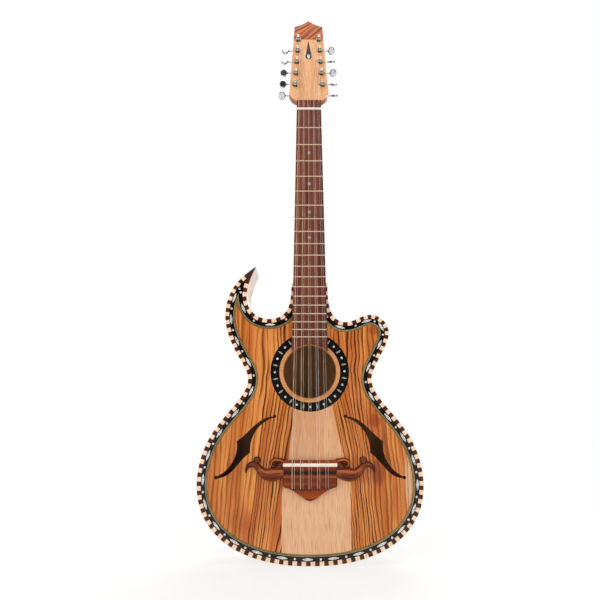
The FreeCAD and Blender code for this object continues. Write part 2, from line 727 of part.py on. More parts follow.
def button_blank():
    """Oval button with rounded edges, its flat sides facing +Y and -Y."""
    half_wide, half_long, half_thick = BUTTON_HALF
    upright = FreeCAD.Rotation(V(1, 0, 0), V(0, 0, 1), V(0, -1, 0))
    edge = Part.Ellipse(V(0, 0, 0), half_long, half_wide).toShape()
    edge.Placement = FreeCAD.Placement(V(0, half_thick, BUTTON_OUT), upright)
    button = Part.Face(Part.Wire([edge])).extrude(V(0, -2 * half_thick, 0))
    rims = [e for e in button.Edges if e.Length > half_long * 2]
    return button.makeFillet(BUTTON_ROUND, rims)


def gear_blank():
    """Fifteen-tooth wheel about +Z; a gap between teeth faces -X."""
    root = GEAR_R - TOOTH_IN
    tip = GEAR_R + TOOTH_OUT
    half_root = TOOTH_HALF + TOOTH_IN * FLANK
    half_tip = TOOTH_HALF - TOOTH_OUT * FLANK
    points = []
    for i in range(GEAR_TEETH):
        angle = math.pi + 2 * math.pi * (i + 0.5) / GEAR_TEETH
        out = V(math.cos(angle), math.sin(angle), 0)
        side = V(-out.y, out.x, 0)
        points += [out * root - side * half_root, out * tip - side * half_tip,
                   out * tip + side * half_tip, out * root + side * half_root]
    face = Part.Face(Part.makePolygon(points + points[:1]))
    wheel = face.extrude(V(0, 0, GEAR_THICK))
    wheel.translate(V(0, 0, -GEAR_THICK / 2))
    return wheel


def post_blank():
    """Post about the head's depth axis with its gear and the string wound on it."""
    top = -PLATE_THICK - 11.0
    low = HEAD_THICK + HOUSING_DEEP - 2.1
    waist = 2.5
    profile = [(0, low), (1.6, low), (1.6, low - 1.4), (POST_R, low - 1.4), (POST_R, WIND_Y + 3.2),
               (waist, WIND_Y + 2.4), (waist, top + 2.6), (POST_R + 0.3, top + 2.0),
               (POST_R + 0.3, top + 0.5), (POST_R - 0.2, top), (0, top)]
    post = turned(profile)
    wraps = []
    for i in range(4):
        wrap = Part.makeTorus(WIND_R - 0.45, 0.45, V(0, 0, WIND_Y - 1.2 + 0.8 * i), V(0, 0, 1))
        wraps.append(wrap)
    core = Part.makeCylinder(WIND_R - 0.45, 3.2, V(0, 0, WIND_Y - 1.6))
    gear = gear_blank()
    gear.translate(V(0, 0, WORM_Y))
    slot = Part.makeBox(1.0, 10, 2.2, V(-0.5, -5, top - 0.1))
    return post.fuse(wraps + [core, gear]).cut(slot)


HEAD_AXES = FreeCAD.Rotation(V(0, 0, 1), V(1, 0, 0), V(0, 1, 0))


def tuner_post(index, blank):
    """The post's own axis (+Z) lies along the head's depth (+Y); its -X faces the worm."""
    _, x, u = tuner_places()[index]
    post = blank.copy()
    post.rotate(V(0, 0, 0), V(0, 0, 1), KEY_TURNS[index] / GEAR_TEETH)
    post.Placement = FreeCAD.Placement(V(x, 0, u), HEAD_AXES).multiply(post.Placement)
    return on_head(post)


def tuner_key(index, blank):
    side, x, u = tuner_places()[index]
    key = blank.copy()
    key.Placement = FreeCAD.Placement(V(0, 0, 0), key_pose(side))
    key.rotate(V(0, 0, 0), V(1, 0, 0), KEY_TURNS[index])
    key.translate(V(x, WORM_Y, u - WORM_DROP))
    return on_head(key)


def key_pose(side):
    """Turns the blank's +Z to the outside and its +X up the head, towards the gear."""
    return FreeCAD.Rotation(V(0, 0, 1), V(0, -side, 0), V(side, 0, 0))


def housing():
    """Open-fronted casting about the post's axis, with bearings for the worm."""
    low_u = -WORM_DROP - 5.4
    high_u = 8.5
    y0 = HEAD_THICK
    shell = Part.makeBox(2 * HOUSING_HALF, HOUSING_DEEP, high_u - low_u, V(-HOUSING_HALF, y0, low_u))
    upright = [e for e in shell.Edges if abs(e.CenterOfMass.y - (y0 + HOUSING_DEEP / 2)) < 0.01]
    shell = shell.makeFillet(3.0, upright)
    rim = [e for e in shell.Edges if abs(e.CenterOfMass.y - (y0 + HOUSING_DEEP)) < 0.01]
    shell = shell.makeFillet(1.2, rim)
    ear = Part.makeCylinder(2.4, 2.0, V(0, y0, 10.6), V(0, 1, 0))
    web = Part.makeBox(4.8, 2.0, 4.6, V(-2.4, y0, 6.0))
    shell = shell.fuse([ear, web])
    gear_bay = Part.makeCylinder(GEAR_R + TOOTH_OUT + 0.5, HOUSING_DEEP - 1.7, V(0, y0, 0), V(0, 1, 0))
    shell = shell.cut(gear_bay)
    worm_bay = Part.makeBox(14.0, 9.0, 8.4, V(-7.0, y0 + 0.0, -WORM_DROP - 4.0))
    shell = shell.cut(worm_bay)
    shell = shell.cut(Part.makeCylinder(0.9, 4, V(0, y0 - 1, 10.6), V(0, 1, 0)))
    return shell


def housing_bearings(side):
    """Bores for the shaft on the outer wall and for its end in the inner wall."""
    out = V(side, 0, 0)
    centre = V(0, WORM_Y, -WORM_DROP)
    shaft = Part.makeCylinder(2.0 + RUNNING, 6, centre + out * 5, out)
    end = Part.makeCylinder(1.5 + RUNNING, 3.4, centre - out * 5, out * -1)
    return Part.makeCompound([shaft, end])


def tuner_housings():
    blank = housing()
    pieces = []
    for side, x, u in tuner_places():
        piece = blank.cut(housing_bearings(side))
        piece.translate(V(x, 0, u))
        pieces.append(on_head(piece))
    return solids_of(pieces)


def tuner_bushings():
    """Hexagonal collar on the head's face with its sleeve through the head."""
    sleeve = Part.makeCylinder(BUSH_R, HEAD_THICK + PLATE_THICK, V(0, -PLATE_THICK, 0), V(0, 1, 0))
    corners = [V(6.2 * math.cos(math.radians(60 * i)), 0, 6.2 * math.sin(math.radians(60 * i)))
               for i in range(6)]
    face = Part.Face(Part.makePolygon(corners + corners[:1]))
    face.translate(V(0, -PLATE_THICK - 1.8, 0))
    collar = face.extrude(V(0, 1.8, 0))
    bore = Part.makeCylinder(POST_R + RUNNING, 40, V(0, -10, 0), V(0, 1, 0))
    blank = sleeve.fuse(collar).cut(bore)
    pieces = []
    for _, x, u in tuner_places():
        piece = blank.copy()
        piece.translate(V(x, 0, u))
        pieces.append(on_head(piece))
    return solids_of(pieces)


def tuner_screws():
    y0 = HEAD_THICK
    head = turned([(0, 0), (1.9, 0), (1.9, 0.5), (1.3, 1.1), (0, 1.2)])
    head.rotate(V(0, 0, 0), V(1, 0, 0), -90)
    head.translate(V(0, y0 + 2.0, 10.6))
    shank = Part.makeCylinder(0.9, 9.5, V(0, y0 - 7.5, 10.6), V(0, 1, 0))
    slot = Part.makeBox(5, 1.0, 0.5, V(-2.5, y0 + 2.7, 10.35))
    blank = head.fuse(shank).cut(slot)
    pieces = []
    for _, x, u in tuner_places():
        piece = blank.copy()
        piece.translate(V(x, 0, u))
        pieces.append(on_head(piece))
    return solids_of(pieces)


# ---------------------------------------------------------------- bridge and strings
def bridge(strings):
    """Base with a pointed lobe, front rail, groove and tie block."""
    base_top = [(-BRIDGE_HALF, BRIDGE_TOP_Z), (-BRIDGE_HALF, TIE_Z + 4), LOBE[0]]
    base_end = [LOBE[-1], (BRIDGE_HALF, TIE_Z + 4), (BRIDGE_HALF, BRIDGE_TOP_Z)]
    edges = polyline(base_top) + [spline(LOBE)] + polyline(base_end + base_top[:1])
    base = plate(edges, -LOBE_HIGH, 0)
    rail = block(-BRIDGE_HALF, BRIDGE_HALF, GROOVE_Z[1], BRIDGE_TOP_Z, -RAIL_HIGH, 0)
    rail_edge = [e for e in rail.Edges if abs(e.CenterOfMass.y - (FACE_Y - RAIL_HIGH)) < 0.1
                 and e.CenterOfMass.z > BRIDGE_TOP_Z - 1]
    rail = rail.makeFillet(2.0, rail_edge)
    tie = block(-BRIDGE_HALF + 1, BRIDGE_HALF - 1, TIE_Z + 1, GROOVE_Z[0], -TIE_HIGH, 0)
    tie_edge = [e for e in tie.Edges if abs(e.CenterOfMass.y - (FACE_Y - TIE_HIGH)) < 0.1]
    tie = tie.makeFillet(1.2, tie_edge)
    groove = block(-FAR, FAR, GROOVE_Z[0], GROOVE_Z[1], -LOBE_HIGH - 1, -GROOVE_HIGH)
    whole = base.cut(groove).fuse([rail, tie])
    whole = whole.cut(saddle_blank())
    for one in strings:
        whole = whole.cut(one)
    return whole


def saddle_blank():
    low = SADDLE_Z - SADDLE_THICK / 2
    return block(-BRIDGE_HALF, BRIDGE_HALF, low, low + SADDLE_THICK, -SADDLE_TOP - 0.5, -4.0)


def saddle(strings):
    bar = saddle_blank()
    top = [e for e in bar.Edges if abs(e.CenterOfMass.y - (FACE_Y - SADDLE_TOP - 0.5)) < 0.1
           and abs(e.CenterOfMass.x) < 1]
    bar = bar.makeFillet(1.6, top)
    for one in strings:
        bar = bar.cut(one)
    return bar


def bridge_wings():
    pieces = []
    for side in (1, -1):
        points = [(side * x, z) for x, z in WING]
        edges = [spline(points)] + polyline([points[-1], points[0]])
        pieces.append(plate(edges, -WING_HIGH, 0))
    return solids_of(pieces)


def string_route(course, member):
    """From its hole behind the tie block, over saddle and nut, to its post."""
    sign = -1 if member == 0 else 1
    radius = STRING_R[course][member]
    x_low = COURSE_SADDLE[course] + sign * PAIR_SADDLE
    x_nut = COURSE_NUT[course] + sign * PAIR_NUT
    number = 2 * course + member
    tuner = number if number < TUNERS_PER_SIDE else 3 * TUNERS_PER_SIDE - 1 - number
    side, x_post, u = tuner_places()[tuner]
    inner = x_post - side * (WIND_R + radius + 0.2)
    wind = on_head(Part.Vertex(V(inner, WIND_Y, u))).Point
    hole_z = TIE_Z - 1.5
    return [at(x_low, hole_z, 1.5), at(x_low, hole_z, TIE_HIGH + radius - 0.15),
            at(x_low, SADDLE_Z, SADDLE_TOP + radius),
            at(x_nut, NUT_Z + NUT_THICK / 2, NUT_GROOVE + radius), wind]


def string_pairs():
    pairs = []
    for course in range(len(COURSE_SADDLE)):
        pairs.append([cord(string_route(course, m), STRING_R[course][m], 1.8) for m in (0, 1)])
    return pairs


# ---------------------------------------------------------------- all pieces
def build_parts():
    parts = {}
    parts["soundboard_bass"], parts["soundboard_center"], parts["soundboard_treble"] = soundboard()
    parts["back_bass"], parts["back_treble"] = back_plates()
    parts["rib_bass"], parts["rib_treble"] = ribs()
    parts["body_blocks"] = body_blocks()
    parts["linings"] = linings()
    parts["braces"] = braces()
    parts["soundboard_patches"] = soundboard_patches()
    parts["horn_tip"] = horn_tip()
    parts["binding_light"], parts["binding_dark"] = edging()
    parts["back_binding"] = solids_of([band(0, RIB, BODY_DEPTH - BACK_BINDING_DEEP, BODY_DEPTH)])
    pearls = border_pearls()
    dots = rosette_pearls()
    black = band(BINDING_WIDTH, BINDING_WIDTH + BLACK_WIDTH, 0, INLAY_DEEP)
    ring = tube_ring(0, SOUNDHOLE_Z, ROSETTE_R, RING_R, 0, INLAY_DEEP)
    parts["border_black"] = black.cut(pearls)
    parts["rosette_ring"] = ring.cut(dots)
    parts["soundhole_ring"] = tube_ring(0, SOUNDHOLE_Z, RING_R, SOUNDHOLE_R, 0, INLAY_DEEP)
    parts["purfling_gold"], parts["purfling_dark"] = purfling()
    parts["pearl_inlays"] = solids_of(pearls + dots + fret_markers() + [on_head(head_pearl())])
    parts["neck"] = neck()
    parts["fingerboard"] = fingerboard()
    parts["frets"] = frets()
    parts["nut_strip"] = nut_strip()
    lower, crown = headplates()
    parts["headplate"] = on_head(lower)
    parts["headplate_crown"] = on_head(crown)
    parts["head_inlay"] = on_head(head_drop(1.2).cut(head_pearl()))
    pairs = string_pairs()
    strings = [one for pair in pairs for one in pair]
    parts["nut"] = nut(strings)
    parts["saddle"] = saddle(strings)
    parts["bridge"] = bridge(strings)
    parts["bridge_wings"] = bridge_wings()
    for i, pair in enumerate(pairs):
        parts["strings_course_%d" % (i + 1)] = solids_of(pair)
    parts["tuner_housings"] = tuner_housings()
    parts["tuner_bushings"] = tuner_bushings()
    parts["tuner_screws"] = tuner_screws()
    key = key_blank()
    post = post_blank()
    for i in range(2 * TUNERS_PER_SIDE):
        parts["tuner_key_%02d" % (i + 1)] = tuner_key(i, key)
        parts["tuner_post_%02d" % (i + 1)] = tuner_post(i, post)
    return parts


os.makedirs("parts", exist_ok=True)
PARTS = build_parts()
for name, shape in PARTS.items():
    shape.exportStep("parts/%s.step" % name)
    print("%-22s solids %3d valid %s volume %.0f" % (name, len(shape.Solids), shape.isValid(), shape.Volume))
box = Part.makeCompound(list(PARTS.values())).BoundBox
print("nodes", len(PARTS), "box", box)
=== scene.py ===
"""Looks of a ten-string, five-course long-necked lute, built round its fixed frame.

The frame gives every piece its place. Lengths are in metres, except where a name ends in
_mm or a finish reads the place on a piece, which it does in millimetres.
"""
import logging
import math
from collections.abc import Callable, Mapping
from dataclasses import dataclass, field
from enum import Enum

import bmesh
import bpy
import numpy as np
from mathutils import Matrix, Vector


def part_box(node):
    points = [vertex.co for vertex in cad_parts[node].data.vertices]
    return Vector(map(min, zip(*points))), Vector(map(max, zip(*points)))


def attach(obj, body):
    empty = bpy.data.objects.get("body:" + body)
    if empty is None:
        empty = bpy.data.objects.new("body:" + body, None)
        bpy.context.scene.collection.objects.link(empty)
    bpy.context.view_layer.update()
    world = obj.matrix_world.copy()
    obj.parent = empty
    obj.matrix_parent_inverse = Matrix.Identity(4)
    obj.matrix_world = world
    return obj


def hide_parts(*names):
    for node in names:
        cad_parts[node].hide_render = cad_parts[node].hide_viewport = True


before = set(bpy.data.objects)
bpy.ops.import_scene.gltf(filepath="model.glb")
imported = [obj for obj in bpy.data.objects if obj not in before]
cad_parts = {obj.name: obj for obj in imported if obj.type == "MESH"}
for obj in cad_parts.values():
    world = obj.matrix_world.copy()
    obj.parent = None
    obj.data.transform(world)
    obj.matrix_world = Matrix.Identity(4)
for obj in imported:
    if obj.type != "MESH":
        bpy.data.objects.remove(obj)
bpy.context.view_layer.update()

MM = 0.001
LOG = logging.getLogger("lute")
SEED_STEP = (7.31, 3.17, 5.03)  # how far a seed of 1 shifts a noise
SPOT_CORE = 0.15  # squared share of a soft patch's radius that is at full strength

Colour = tuple[float, float, float, float]
Number = "Value | float"


def shade(code: str) -> Colour:
    """Turns a six-digit colour code into a linear colour.

    Args:
        code: red, green and blue as two hexadecimal digits each.
    Returns:
        The linear colour, with an alpha of 1.
    """
    parts = [int(code[i:i + 2], 16) / 255 for i in (0, 2, 4)]
    linear = [p / 12.92 if p <= 0.04045 else ((p + 0.055) / 1.055) ** 2.4 for p in parts]
    return (*linear, 1.0)


# ---------------------------------------------------------------- shader bench
class Value:
    """A number that varies over a surface: a shader socket that takes arithmetic."""

    def __init__(self, bench: "Bench", socket: bpy.types.NodeSocket) -> None:
        """Wraps a socket of the bench's material."""
        self.bench = bench
        self.socket = socket

    def __add__(self, other: Number) -> "Value":
        """Sum."""
        return self.bench.maths("ADD", self, other)

    def __sub__(self, other: Number) -> "Value":
        """Difference."""
        return self.bench.maths("SUBTRACT", self, other)

    def __rsub__(self, other: Number) -> "Value":
        """Difference from a plain number."""
        return self.bench.maths("SUBTRACT", other, self)

    def __mul__(self, other: Number) -> "Value":
        """Product."""
        return self.bench.maths("MULTIPLY", self, other)

    def __truediv__(self, other: Number) -> "Value":
        """Quotient."""
        return self.bench.maths("DIVIDE", self, other)

    __radd__ = __add__
    __rmul__ = __mul__


class Bench:
    """The nodes of one material, or of the world, under construction."""

    def __init__(self, name: str, world: bpy.types.World | None = None) -> None:
        """Starts an empty node tree.

        Args:
            name: the new material's name.
            world: the world whose nodes are wanted instead of a material's.
        """
        self.owner = world or bpy.data.materials.new(name)
        self.owner.use_nodes = True
        self.tree = self.owner.node_tree
        self.tree.nodes.clear()

    def node(self, kind: str, settings: Mapping | None = None,
             inputs: Mapping | None = None) -> bpy.types.Node:
        """Adds a node.

        Args:
            kind: the node's type.
            settings: its own properties; "stops" gives the places and colours of a ramp's ends.
            inputs: values or links of its sockets, by name or number.
        Returns:
            The node.
        """
        made = self.tree.nodes.new(kind)
        for key, value in (settings or {}).items():
            if key == "stops":
                for element, (place, colour) in zip(made.color_ramp.elements, value):
                    element.position = place
                    element.color = colour
            else:
                setattr(made, key, value)
        for key, value in (inputs or {}).items():
            self.plug(made.inputs[key], value)
        return made

    def plug(self, socket: bpy.types.NodeSocket, value: object) -> None:
        """Links a value or sets a constant on a socket."""
        if isinstance(value, Value):
            value = value.socket
        if isinstance(value, bpy.types.NodeSocket):
            self.tree.links.new(value, socket)
        else:
            socket.default_value = value

    def maths(self, operation: str, *values: Number) -> Value:
        """Adds one Math node."""
        made = self.node("ShaderNodeMath", {"operation": operation}, dict(enumerate(values)))
        return Value(self, made.outputs[0])

    def place(self) -> tuple[Value, Value, Value]:
        """The point on the piece in millimetres, as three values."""
        coords = self.node("ShaderNodeTexCoord")
        scaled = self.node("ShaderNodeVectorMath", {"operation": "MULTIPLY"},
                           {0: coords.outputs["Object"], 1: (1 / MM, 1 / MM, 1 / MM)})
        parts = self.node("ShaderNodeSeparateXYZ", inputs={0: scaled.outputs[0]})
        x, y, z = (Value(self, out) for out in parts.outputs)
        return x, y, z

    def noise(self, x: Number, y: Number, z: Number, detail: float = 3.0, rough: float = 0.5,
              seed: float = 0.0) -> Value:
        """Smooth noise about 0.5, whose features are one unit across.

        Args:
            x, y, z: the place, already divided by the size of a feature.
            detail: how many finer layers are added.
            rough: how strong each finer layer is.
            seed: shifts the pattern.
        Returns:
            The noise.
        """
        spot = self.node("ShaderNodeCombineXYZ", inputs={0: x, 1: y, 2: z})
        moved = self.node("ShaderNodeVectorMath", {"operation": "ADD"},
                          {0: spot.outputs[0], 1: tuple(seed * step for step in SEED_STEP)})
        made = self.node("ShaderNodeTexNoise", inputs={
            "Vector": moved.outputs[0], "Scale": 1.0, "Detail": detail, "Roughness": rough})
        return Value(self, made.outputs[0])

    def smooth(self, value: Value, low: float, high: float) -> Value:
        """Rises smoothly from 0 at low to 1 at high, or falls where low is the larger."""
        made = self.node("ShaderNodeMapRange", {"interpolation_type": "SMOOTHSTEP"},
                         {"Value": value, "From Min": low, "From Max": high})
        return Value(self, made.outputs[0])

    def ramp(self, value: Value, low: float, high: float) -> Value:
        """Rises evenly from 0 at low to 1 at high."""
        made = self.node("ShaderNodeMapRange",
                         inputs={"Value": value, "From Min": low, "From Max": high})
        return Value(self, made.outputs[0])

    def spot(self, x: Value, z: Value, centre: tuple[float, float],
             half: tuple[float, float]) -> Value:
        """Soft oval patch on the face: 1 in its middle, 0 past its edge."""
        across = (x - centre[0]) / half[0]
        along = (z - centre[1]) / half[1]
        return self.smooth(across * across + along * along, 1.0, SPOT_CORE)

    def mix(self, share: Number, first: object, second: object) -> bpy.types.NodeSocket:
        """Colour between two colours."""
        made = self.node("ShaderNodeMix", {"data_type": "RGBA"}, {0: share, 6: first, 7: second})
        return made.outputs[2]

    def finish(self, colour: object, roughness: Number, height: Value, depth_mm: float,
               **constants: float) -> bpy.types.Material:
        """Closes the material with one Principled shader.

        Args:
            colour: base colour.
            roughness: roughness.
            height: height of the surface from 0 to 1, for the bump.
            depth_mm: what a height of 1 stands for.
            constants: plain numbers for other sockets, underscores for spaces.
        Returns:
            The material.
        """
        shader = self.node("ShaderNodeBsdfPrincipled",
                           inputs={"Base Color": colour, "Roughness": roughness})
        for key, value in constants.items():
            self.plug(shader.inputs[key.replace("_", " ")], value)
        bump = self.node("ShaderNodeBump",
                         inputs={"Strength": 1.0, "Distance": depth_mm * MM, "Height": height})
        self.plug(shader.inputs["Normal"], bump.outputs[0])
        self.node("ShaderNodeOutputMaterial", inputs={"Surface": shader.outputs[0]})
        return self.owner


# ---------------------------------------------------------------- finishes
# A place is divided by the size of a feature in millimetres: across, through and along the
# wood. The two numbers of smooth() are the noise levels between which a tone fades in.
class Grain(Enum):
    """Which way the wood's fibres run."""

    UP = "up"
    ACROSS = "across"
    ROUND_RIM = "round rim"


@dataclass(frozen=True)
class Timber:
    """Varnished wood with straight streaks, fine fibres and pores."""

    name: str
    light: str
    middle: str
    dark: str
    grain: Grain = Grain.UP
    streak_mm: float = 3.0
    broad_mm: float = 22.0
    streak_share: float = 0.5
    pore_share: float = 0.35
    wave_mm: float = 3.0
    roughness: float = 0.38
    coat: float = 0.12
    # relief_mm gives heights off the board: the recess colour is painted shade near the board, the ridge
    # colour a painted highlight on the highest parts
    relief_mm: tuple[float, float] | None = None
    painted_recess_shade: str = "1E0702"
    ridge: str = "C0621C"
    bands: tuple = ()
    seed: float = 0.0
    broad_long_mm: float = 420.0
    streak_long_mm: float = 190.0
    fibre_long_mm: float = 26.0
    pore_long_mm: float = 5.5
    relief_noise_mm: float = 1.5
    ridge_mm: float = 0.9
    recess_mm: float = 1.6
    band_edge_mm: float = 0.7

    def make(self) -> bpy.types.Material:
        """Streaks are noise stretched along the fibres; pores are short dashes of finer noise.

        Carved wood gets painted shade where it stands less far off the soundboard, and a
        painted highlight on its ridges; bands across the wood at given heights take a given
        colour, which on the bridge paints shade and dirt into its groove.
        """
        b = Bench(self.name)
        x, y, z = b.place()
        ways = {Grain.UP: (z, x, y), Grain.ACROSS: (x, z, y), Grain.ROUND_RIM: (x + z, y, x - z)}
        along, across, through = ways[self.grain]
        length = 4.0 if self.grain is Grain.ROUND_RIM else 1.0
        wave = b.noise(across / 35, through / 35, along / 120, 1.0, seed=self.seed) - 0.5
        across = across + wave * self.wave_mm * 2
        through = through / length
        broad = b.noise(across / self.broad_mm, through / self.broad_mm, along / self.broad_long_mm,
                        2.0, seed=self.seed + 1)
        streak = b.noise(across / self.streak_mm, through / self.streak_mm,
                         along / self.streak_long_mm, 3.0, 0.6, self.seed + 2)
        fibre = b.noise(across / 0.55, through / 0.8, along / self.fibre_long_mm,
                        2.0, 0.6, self.seed + 3)
        dashes = b.noise(across / 0.42, through / 0.5, along / self.pore_long_mm,
                         1.0, seed=self.seed + 4)
        pore = b.smooth(dashes, 0.62, 0.72)
        ground = b.mix(b.smooth(broad, 0.32, 0.68), shade(self.middle), shade(self.light))
        dark_share = b.smooth(streak, 0.5, 0.72) * self.streak_share
        lined = b.mix(dark_share, ground, shade(self.dark))
        fine = b.mix(b.smooth(fibre, 0.45, 0.75) * 0.28, lined, shade(self.dark))
        colour = b.mix(pore * self.pore_share, fine, shade(self.dark))
        if self.relief_mm:
            low, high = self.relief_mm
            off_board = FACE_MM - y + (streak - 0.5) * self.relief_noise_mm
            # painted highlight on the highest parts of the carving
            ridge_highlight_share = b.smooth(off_board, high - self.ridge_mm, high) * 0.75
            colour = b.mix(ridge_highlight_share, colour, shade(self.ridge))
            # painted shade where the carving sinks towards the board
            recess_shade_share = b.smooth(off_board, low + self.recess_mm, low) * 0.92
            colour = b.mix(recess_shade_share, colour, shade(self.painted_recess_shade))
        for low, high, tone, share in self.bands:
            edge = self.band_edge_mm
            inside = b.smooth(z, low - edge, low + edge) * b.smooth(z, high + edge, high - edge)
            colour = b.mix(inside * share, colour, shade(tone))
        worn = b.noise(x / 30, y / 30, z / 30, 3.0, 0.6, self.seed + 5)
        roughness = self.roughness + (worn - 0.5) * 0.12 + pore * 0.1
        height = 1 - pore * 0.7 - b.smooth(fibre, 0.4, 0.8) * 0.3
        return b.finish(colour, roughness, height, 0.05, Coat_Weight=self.coat, Coat_Roughness=0.12,
                        Specular_IOR_Level=0.25)


@dataclass(frozen=True)
class StripedTop:
    """Orange wood with many thin dark growth lines that fan out a little."""

    name: str
    side: int
    dense_mm: tuple[float, float] = (18.0, 66.0)
    dense_lines: float = 2.4
    calm_mm: float = 9.5
    calm_share: float = 0.46
    lean: float = 0.165
    lean_from_mm: float = 318.0
    wander_mm: float = 15.0
    thickness: float = 0.34
    light: str = "E6954A"
    middle: str = "C26A28"
    halo: str = "8C3A0B"
    line: str = "341204"
    patches: tuple = ()
    sapwood: tuple | None = None
    turn_deg: float = 0.0
    inside_mm: float | None = None
    seed: float = 0.0
    reddish: str = "BE6236"
    stain: str = "8E3A1C"
    pale: str = "E2B58A"
    pore_tone: str = "4A2006"
    bare_middle: str = "A06A40"
    bare_light: str = "BA8354"
    bare_fibre: str = "74461F"
    bare_edge_mm: tuple[float, float] = (0.9, 0.4)
    wobble_mm: float = 2.4
    uneven_lines: float = 1.8
    lean_out_mm: tuple[float, float] = (190, 60)
    crowd_mm: tuple[float, float] = (25, -5)

    def make(self) -> bpy.types.Material:
        """Each growth line is the end of one count across the wood: a soft rise, then a sharp edge.

        The lines crowd between the two dense distances, because they are counted
        faster there, and below a height they lean outwards, like a fan. A face at the
        inside depth is left bare, and is of a plainer brown.
        """
        b = Bench(self.name)
        x, y, z = b.place()
        turn = math.radians(self.turn_deg)
        across = x * math.cos(turn) + z * math.sin(turn)
        along = z * math.cos(turn) - x * math.sin(turn)
        out = across * self.side
        below = b.ramp(along, self.lean_from_mm, 0) * self.lean_from_mm * self.lean
        drift = b.noise(out / 50, y / 60, along / 110, 2.0, seed=self.seed)
        wander = (drift - 0.5) * self.wander_mm
        shake = b.noise(out / 11, y / 30, along / 34, 2.0, seed=self.seed + 1)
        wobble = (shake - 0.5) * self.wobble_mm
        out = out - below * b.ramp(out, *self.lean_out_mm) + wander + wobble
        dense = b.ramp(out, *self.dense_mm)
        crowd_from, crowd_to = self.crowd_mm
        crowd = b.smooth(out, self.dense_mm[1] + crowd_from, self.dense_mm[1] + crowd_to)
        count = out / self.calm_mm + dense * self.dense_lines
        uneven = b.noise(count * 0.7, y / 40, along / 240, 2.0, seed=self.seed + 2) - 0.5
        count = count + uneven * self.uneven_lines
        part = b.maths("FRACT", count)
        own = b.noise((count - part) * 3.7, y / 40, along / 150, 2.0, seed=self.seed + 4)
        strength = b.smooth(own, 0.28, 0.5) * (self.calm_share + crowd * (1 - self.calm_share))
        line = b.smooth(part, 1 - self.thickness, 1 - self.thickness * 0.35) * strength
        rise = b.smooth(part, 0.3, 0.95) * strength
        thin = b.smooth(b.maths("FRACT", count * 3.3 + own * 2), 0.6, 1.0)
        fibre = b.noise(across / 0.5, y / 0.8, along / 22, 2.0, 0.6, self.seed + 5)
        dashes = b.noise(across / 0.45, y / 0.5, along / 4.5, 1.0, seed=self.seed + 6)
        pore = b.smooth(dashes, 0.62, 0.7)
        tone = b.noise(out / 13, y / 30, along / 240, 3.0, 0.55, self.seed + 7)
        ground = b.mix(b.smooth(tone, 0.34, 0.66), shade(self.middle), shade(self.light))
        red = b.smooth(b.noise(out / 32, y / 30, along / 85, 2.0, 0.5, self.seed + 8), 0.5, 0.66)
        ground = b.mix(red * 0.45, ground, shade(self.reddish))
        for centre, half, share in self.patches:
            stained = b.spot(x + wobble * 2, z, centre, half) * share
            ground = b.mix(stained, ground, shade(self.stain))
        if self.sapwood:
            centre, half = self.sapwood
            ground = b.mix(b.spot(x, z, centre, half) * 0.9, ground, shade(self.pale))
        tinted = b.mix(rise * 0.8, ground, shade(self.halo))
        tinted = b.mix(thin * 0.3, tinted, shade(self.halo))
        lined = b.mix(line * 0.96, tinted, shade(self.line))
        fine = b.mix(b.smooth(fibre, 0.45, 0.8) * 0.28, lined, shade(self.halo))
        colour = b.mix(pore * 0.35, fine, shade(self.pore_tone))
        if self.inside_mm is not None:
            bare = b.mix(b.smooth(tone, 0.3, 0.7), shade(self.bare_middle), shade(self.bare_light))
            bare = b.mix(b.smooth(fibre, 0.4, 0.75) * 0.4, bare, shade(self.bare_fibre))
            outer, inner = self.bare_edge_mm
            past = b.smooth(y, self.inside_mm + outer, self.inside_mm + inner)
            colour = b.mix(past, colour, bare)
        roughness = 0.36 + (tone - 0.5) * 0.1 + pore * 0.12
        height = 1 - pore * 0.6 - line * 0.25
        return b.finish(colour, roughness, height, 0.05, Coat_Weight=0.12, Coat_Roughness=0.1,
                        Specular_IOR_Level=0.22)


@dataclass(frozen=True)
class FleckedWedge:
    """Pale pinkish wood with short upright brown flecks, as on the soundboard's middle."""

    name: str
    middle: str = "D79A6C"
    light: str = "E3AC80"
    bottom_tone: str = "ECC29A"
    fibre_tone: str = "BE8458"
    fleck_tone: str = "B07048"
    pore_tone: str = "96603A"

    def make(self) -> bpy.types.Material:
        """Flecks are dashes of noise about a millimetre wide and thirty long."""
        b = Bench(self.name)
        x, y, z = b.place()
        broad = b.noise(x / 18, y / 30, z / 160, 3.0, 0.55, 11)
        fleck = b.smooth(b.noise(x / 1.2, y / 3, z / 30, 3.0, 0.6, 12), 0.5, 0.75)
        fibre = b.noise(x / 0.6, y / 2, z / 30, 2.0, 0.6, 13)
        pore = b.smooth(b.noise(x / 0.45, y / 2, z / 7, 1.0, seed=14), 0.63, 0.72)
        # lighter towards the bottom
        low = b.smooth(z, 270, 60)
        ground = b.mix(b.smooth(broad, 0.3, 0.7), shade(self.middle), shade(self.light))
        ground = b.mix(low * 0.6, ground, shade(self.bottom_tone))
        fine = b.mix(b.smooth(fibre, 0.42, 0.7) * 0.5, ground, shade(self.fibre_tone))
        flecked = b.mix(fleck * 0.75, fine, shade(self.fleck_tone))
        colour = b.mix(pore * 0.22, flecked, shade(self.pore_tone))
        height = 1 - pore * 0.7 - fleck * 0.2
        return b.finish(colour, 0.42 + pore * 0.1, height, 0.04, Coat_Weight=0.1, Coat_Roughness=0.15,
                        Specular_IOR_Level=0.22)


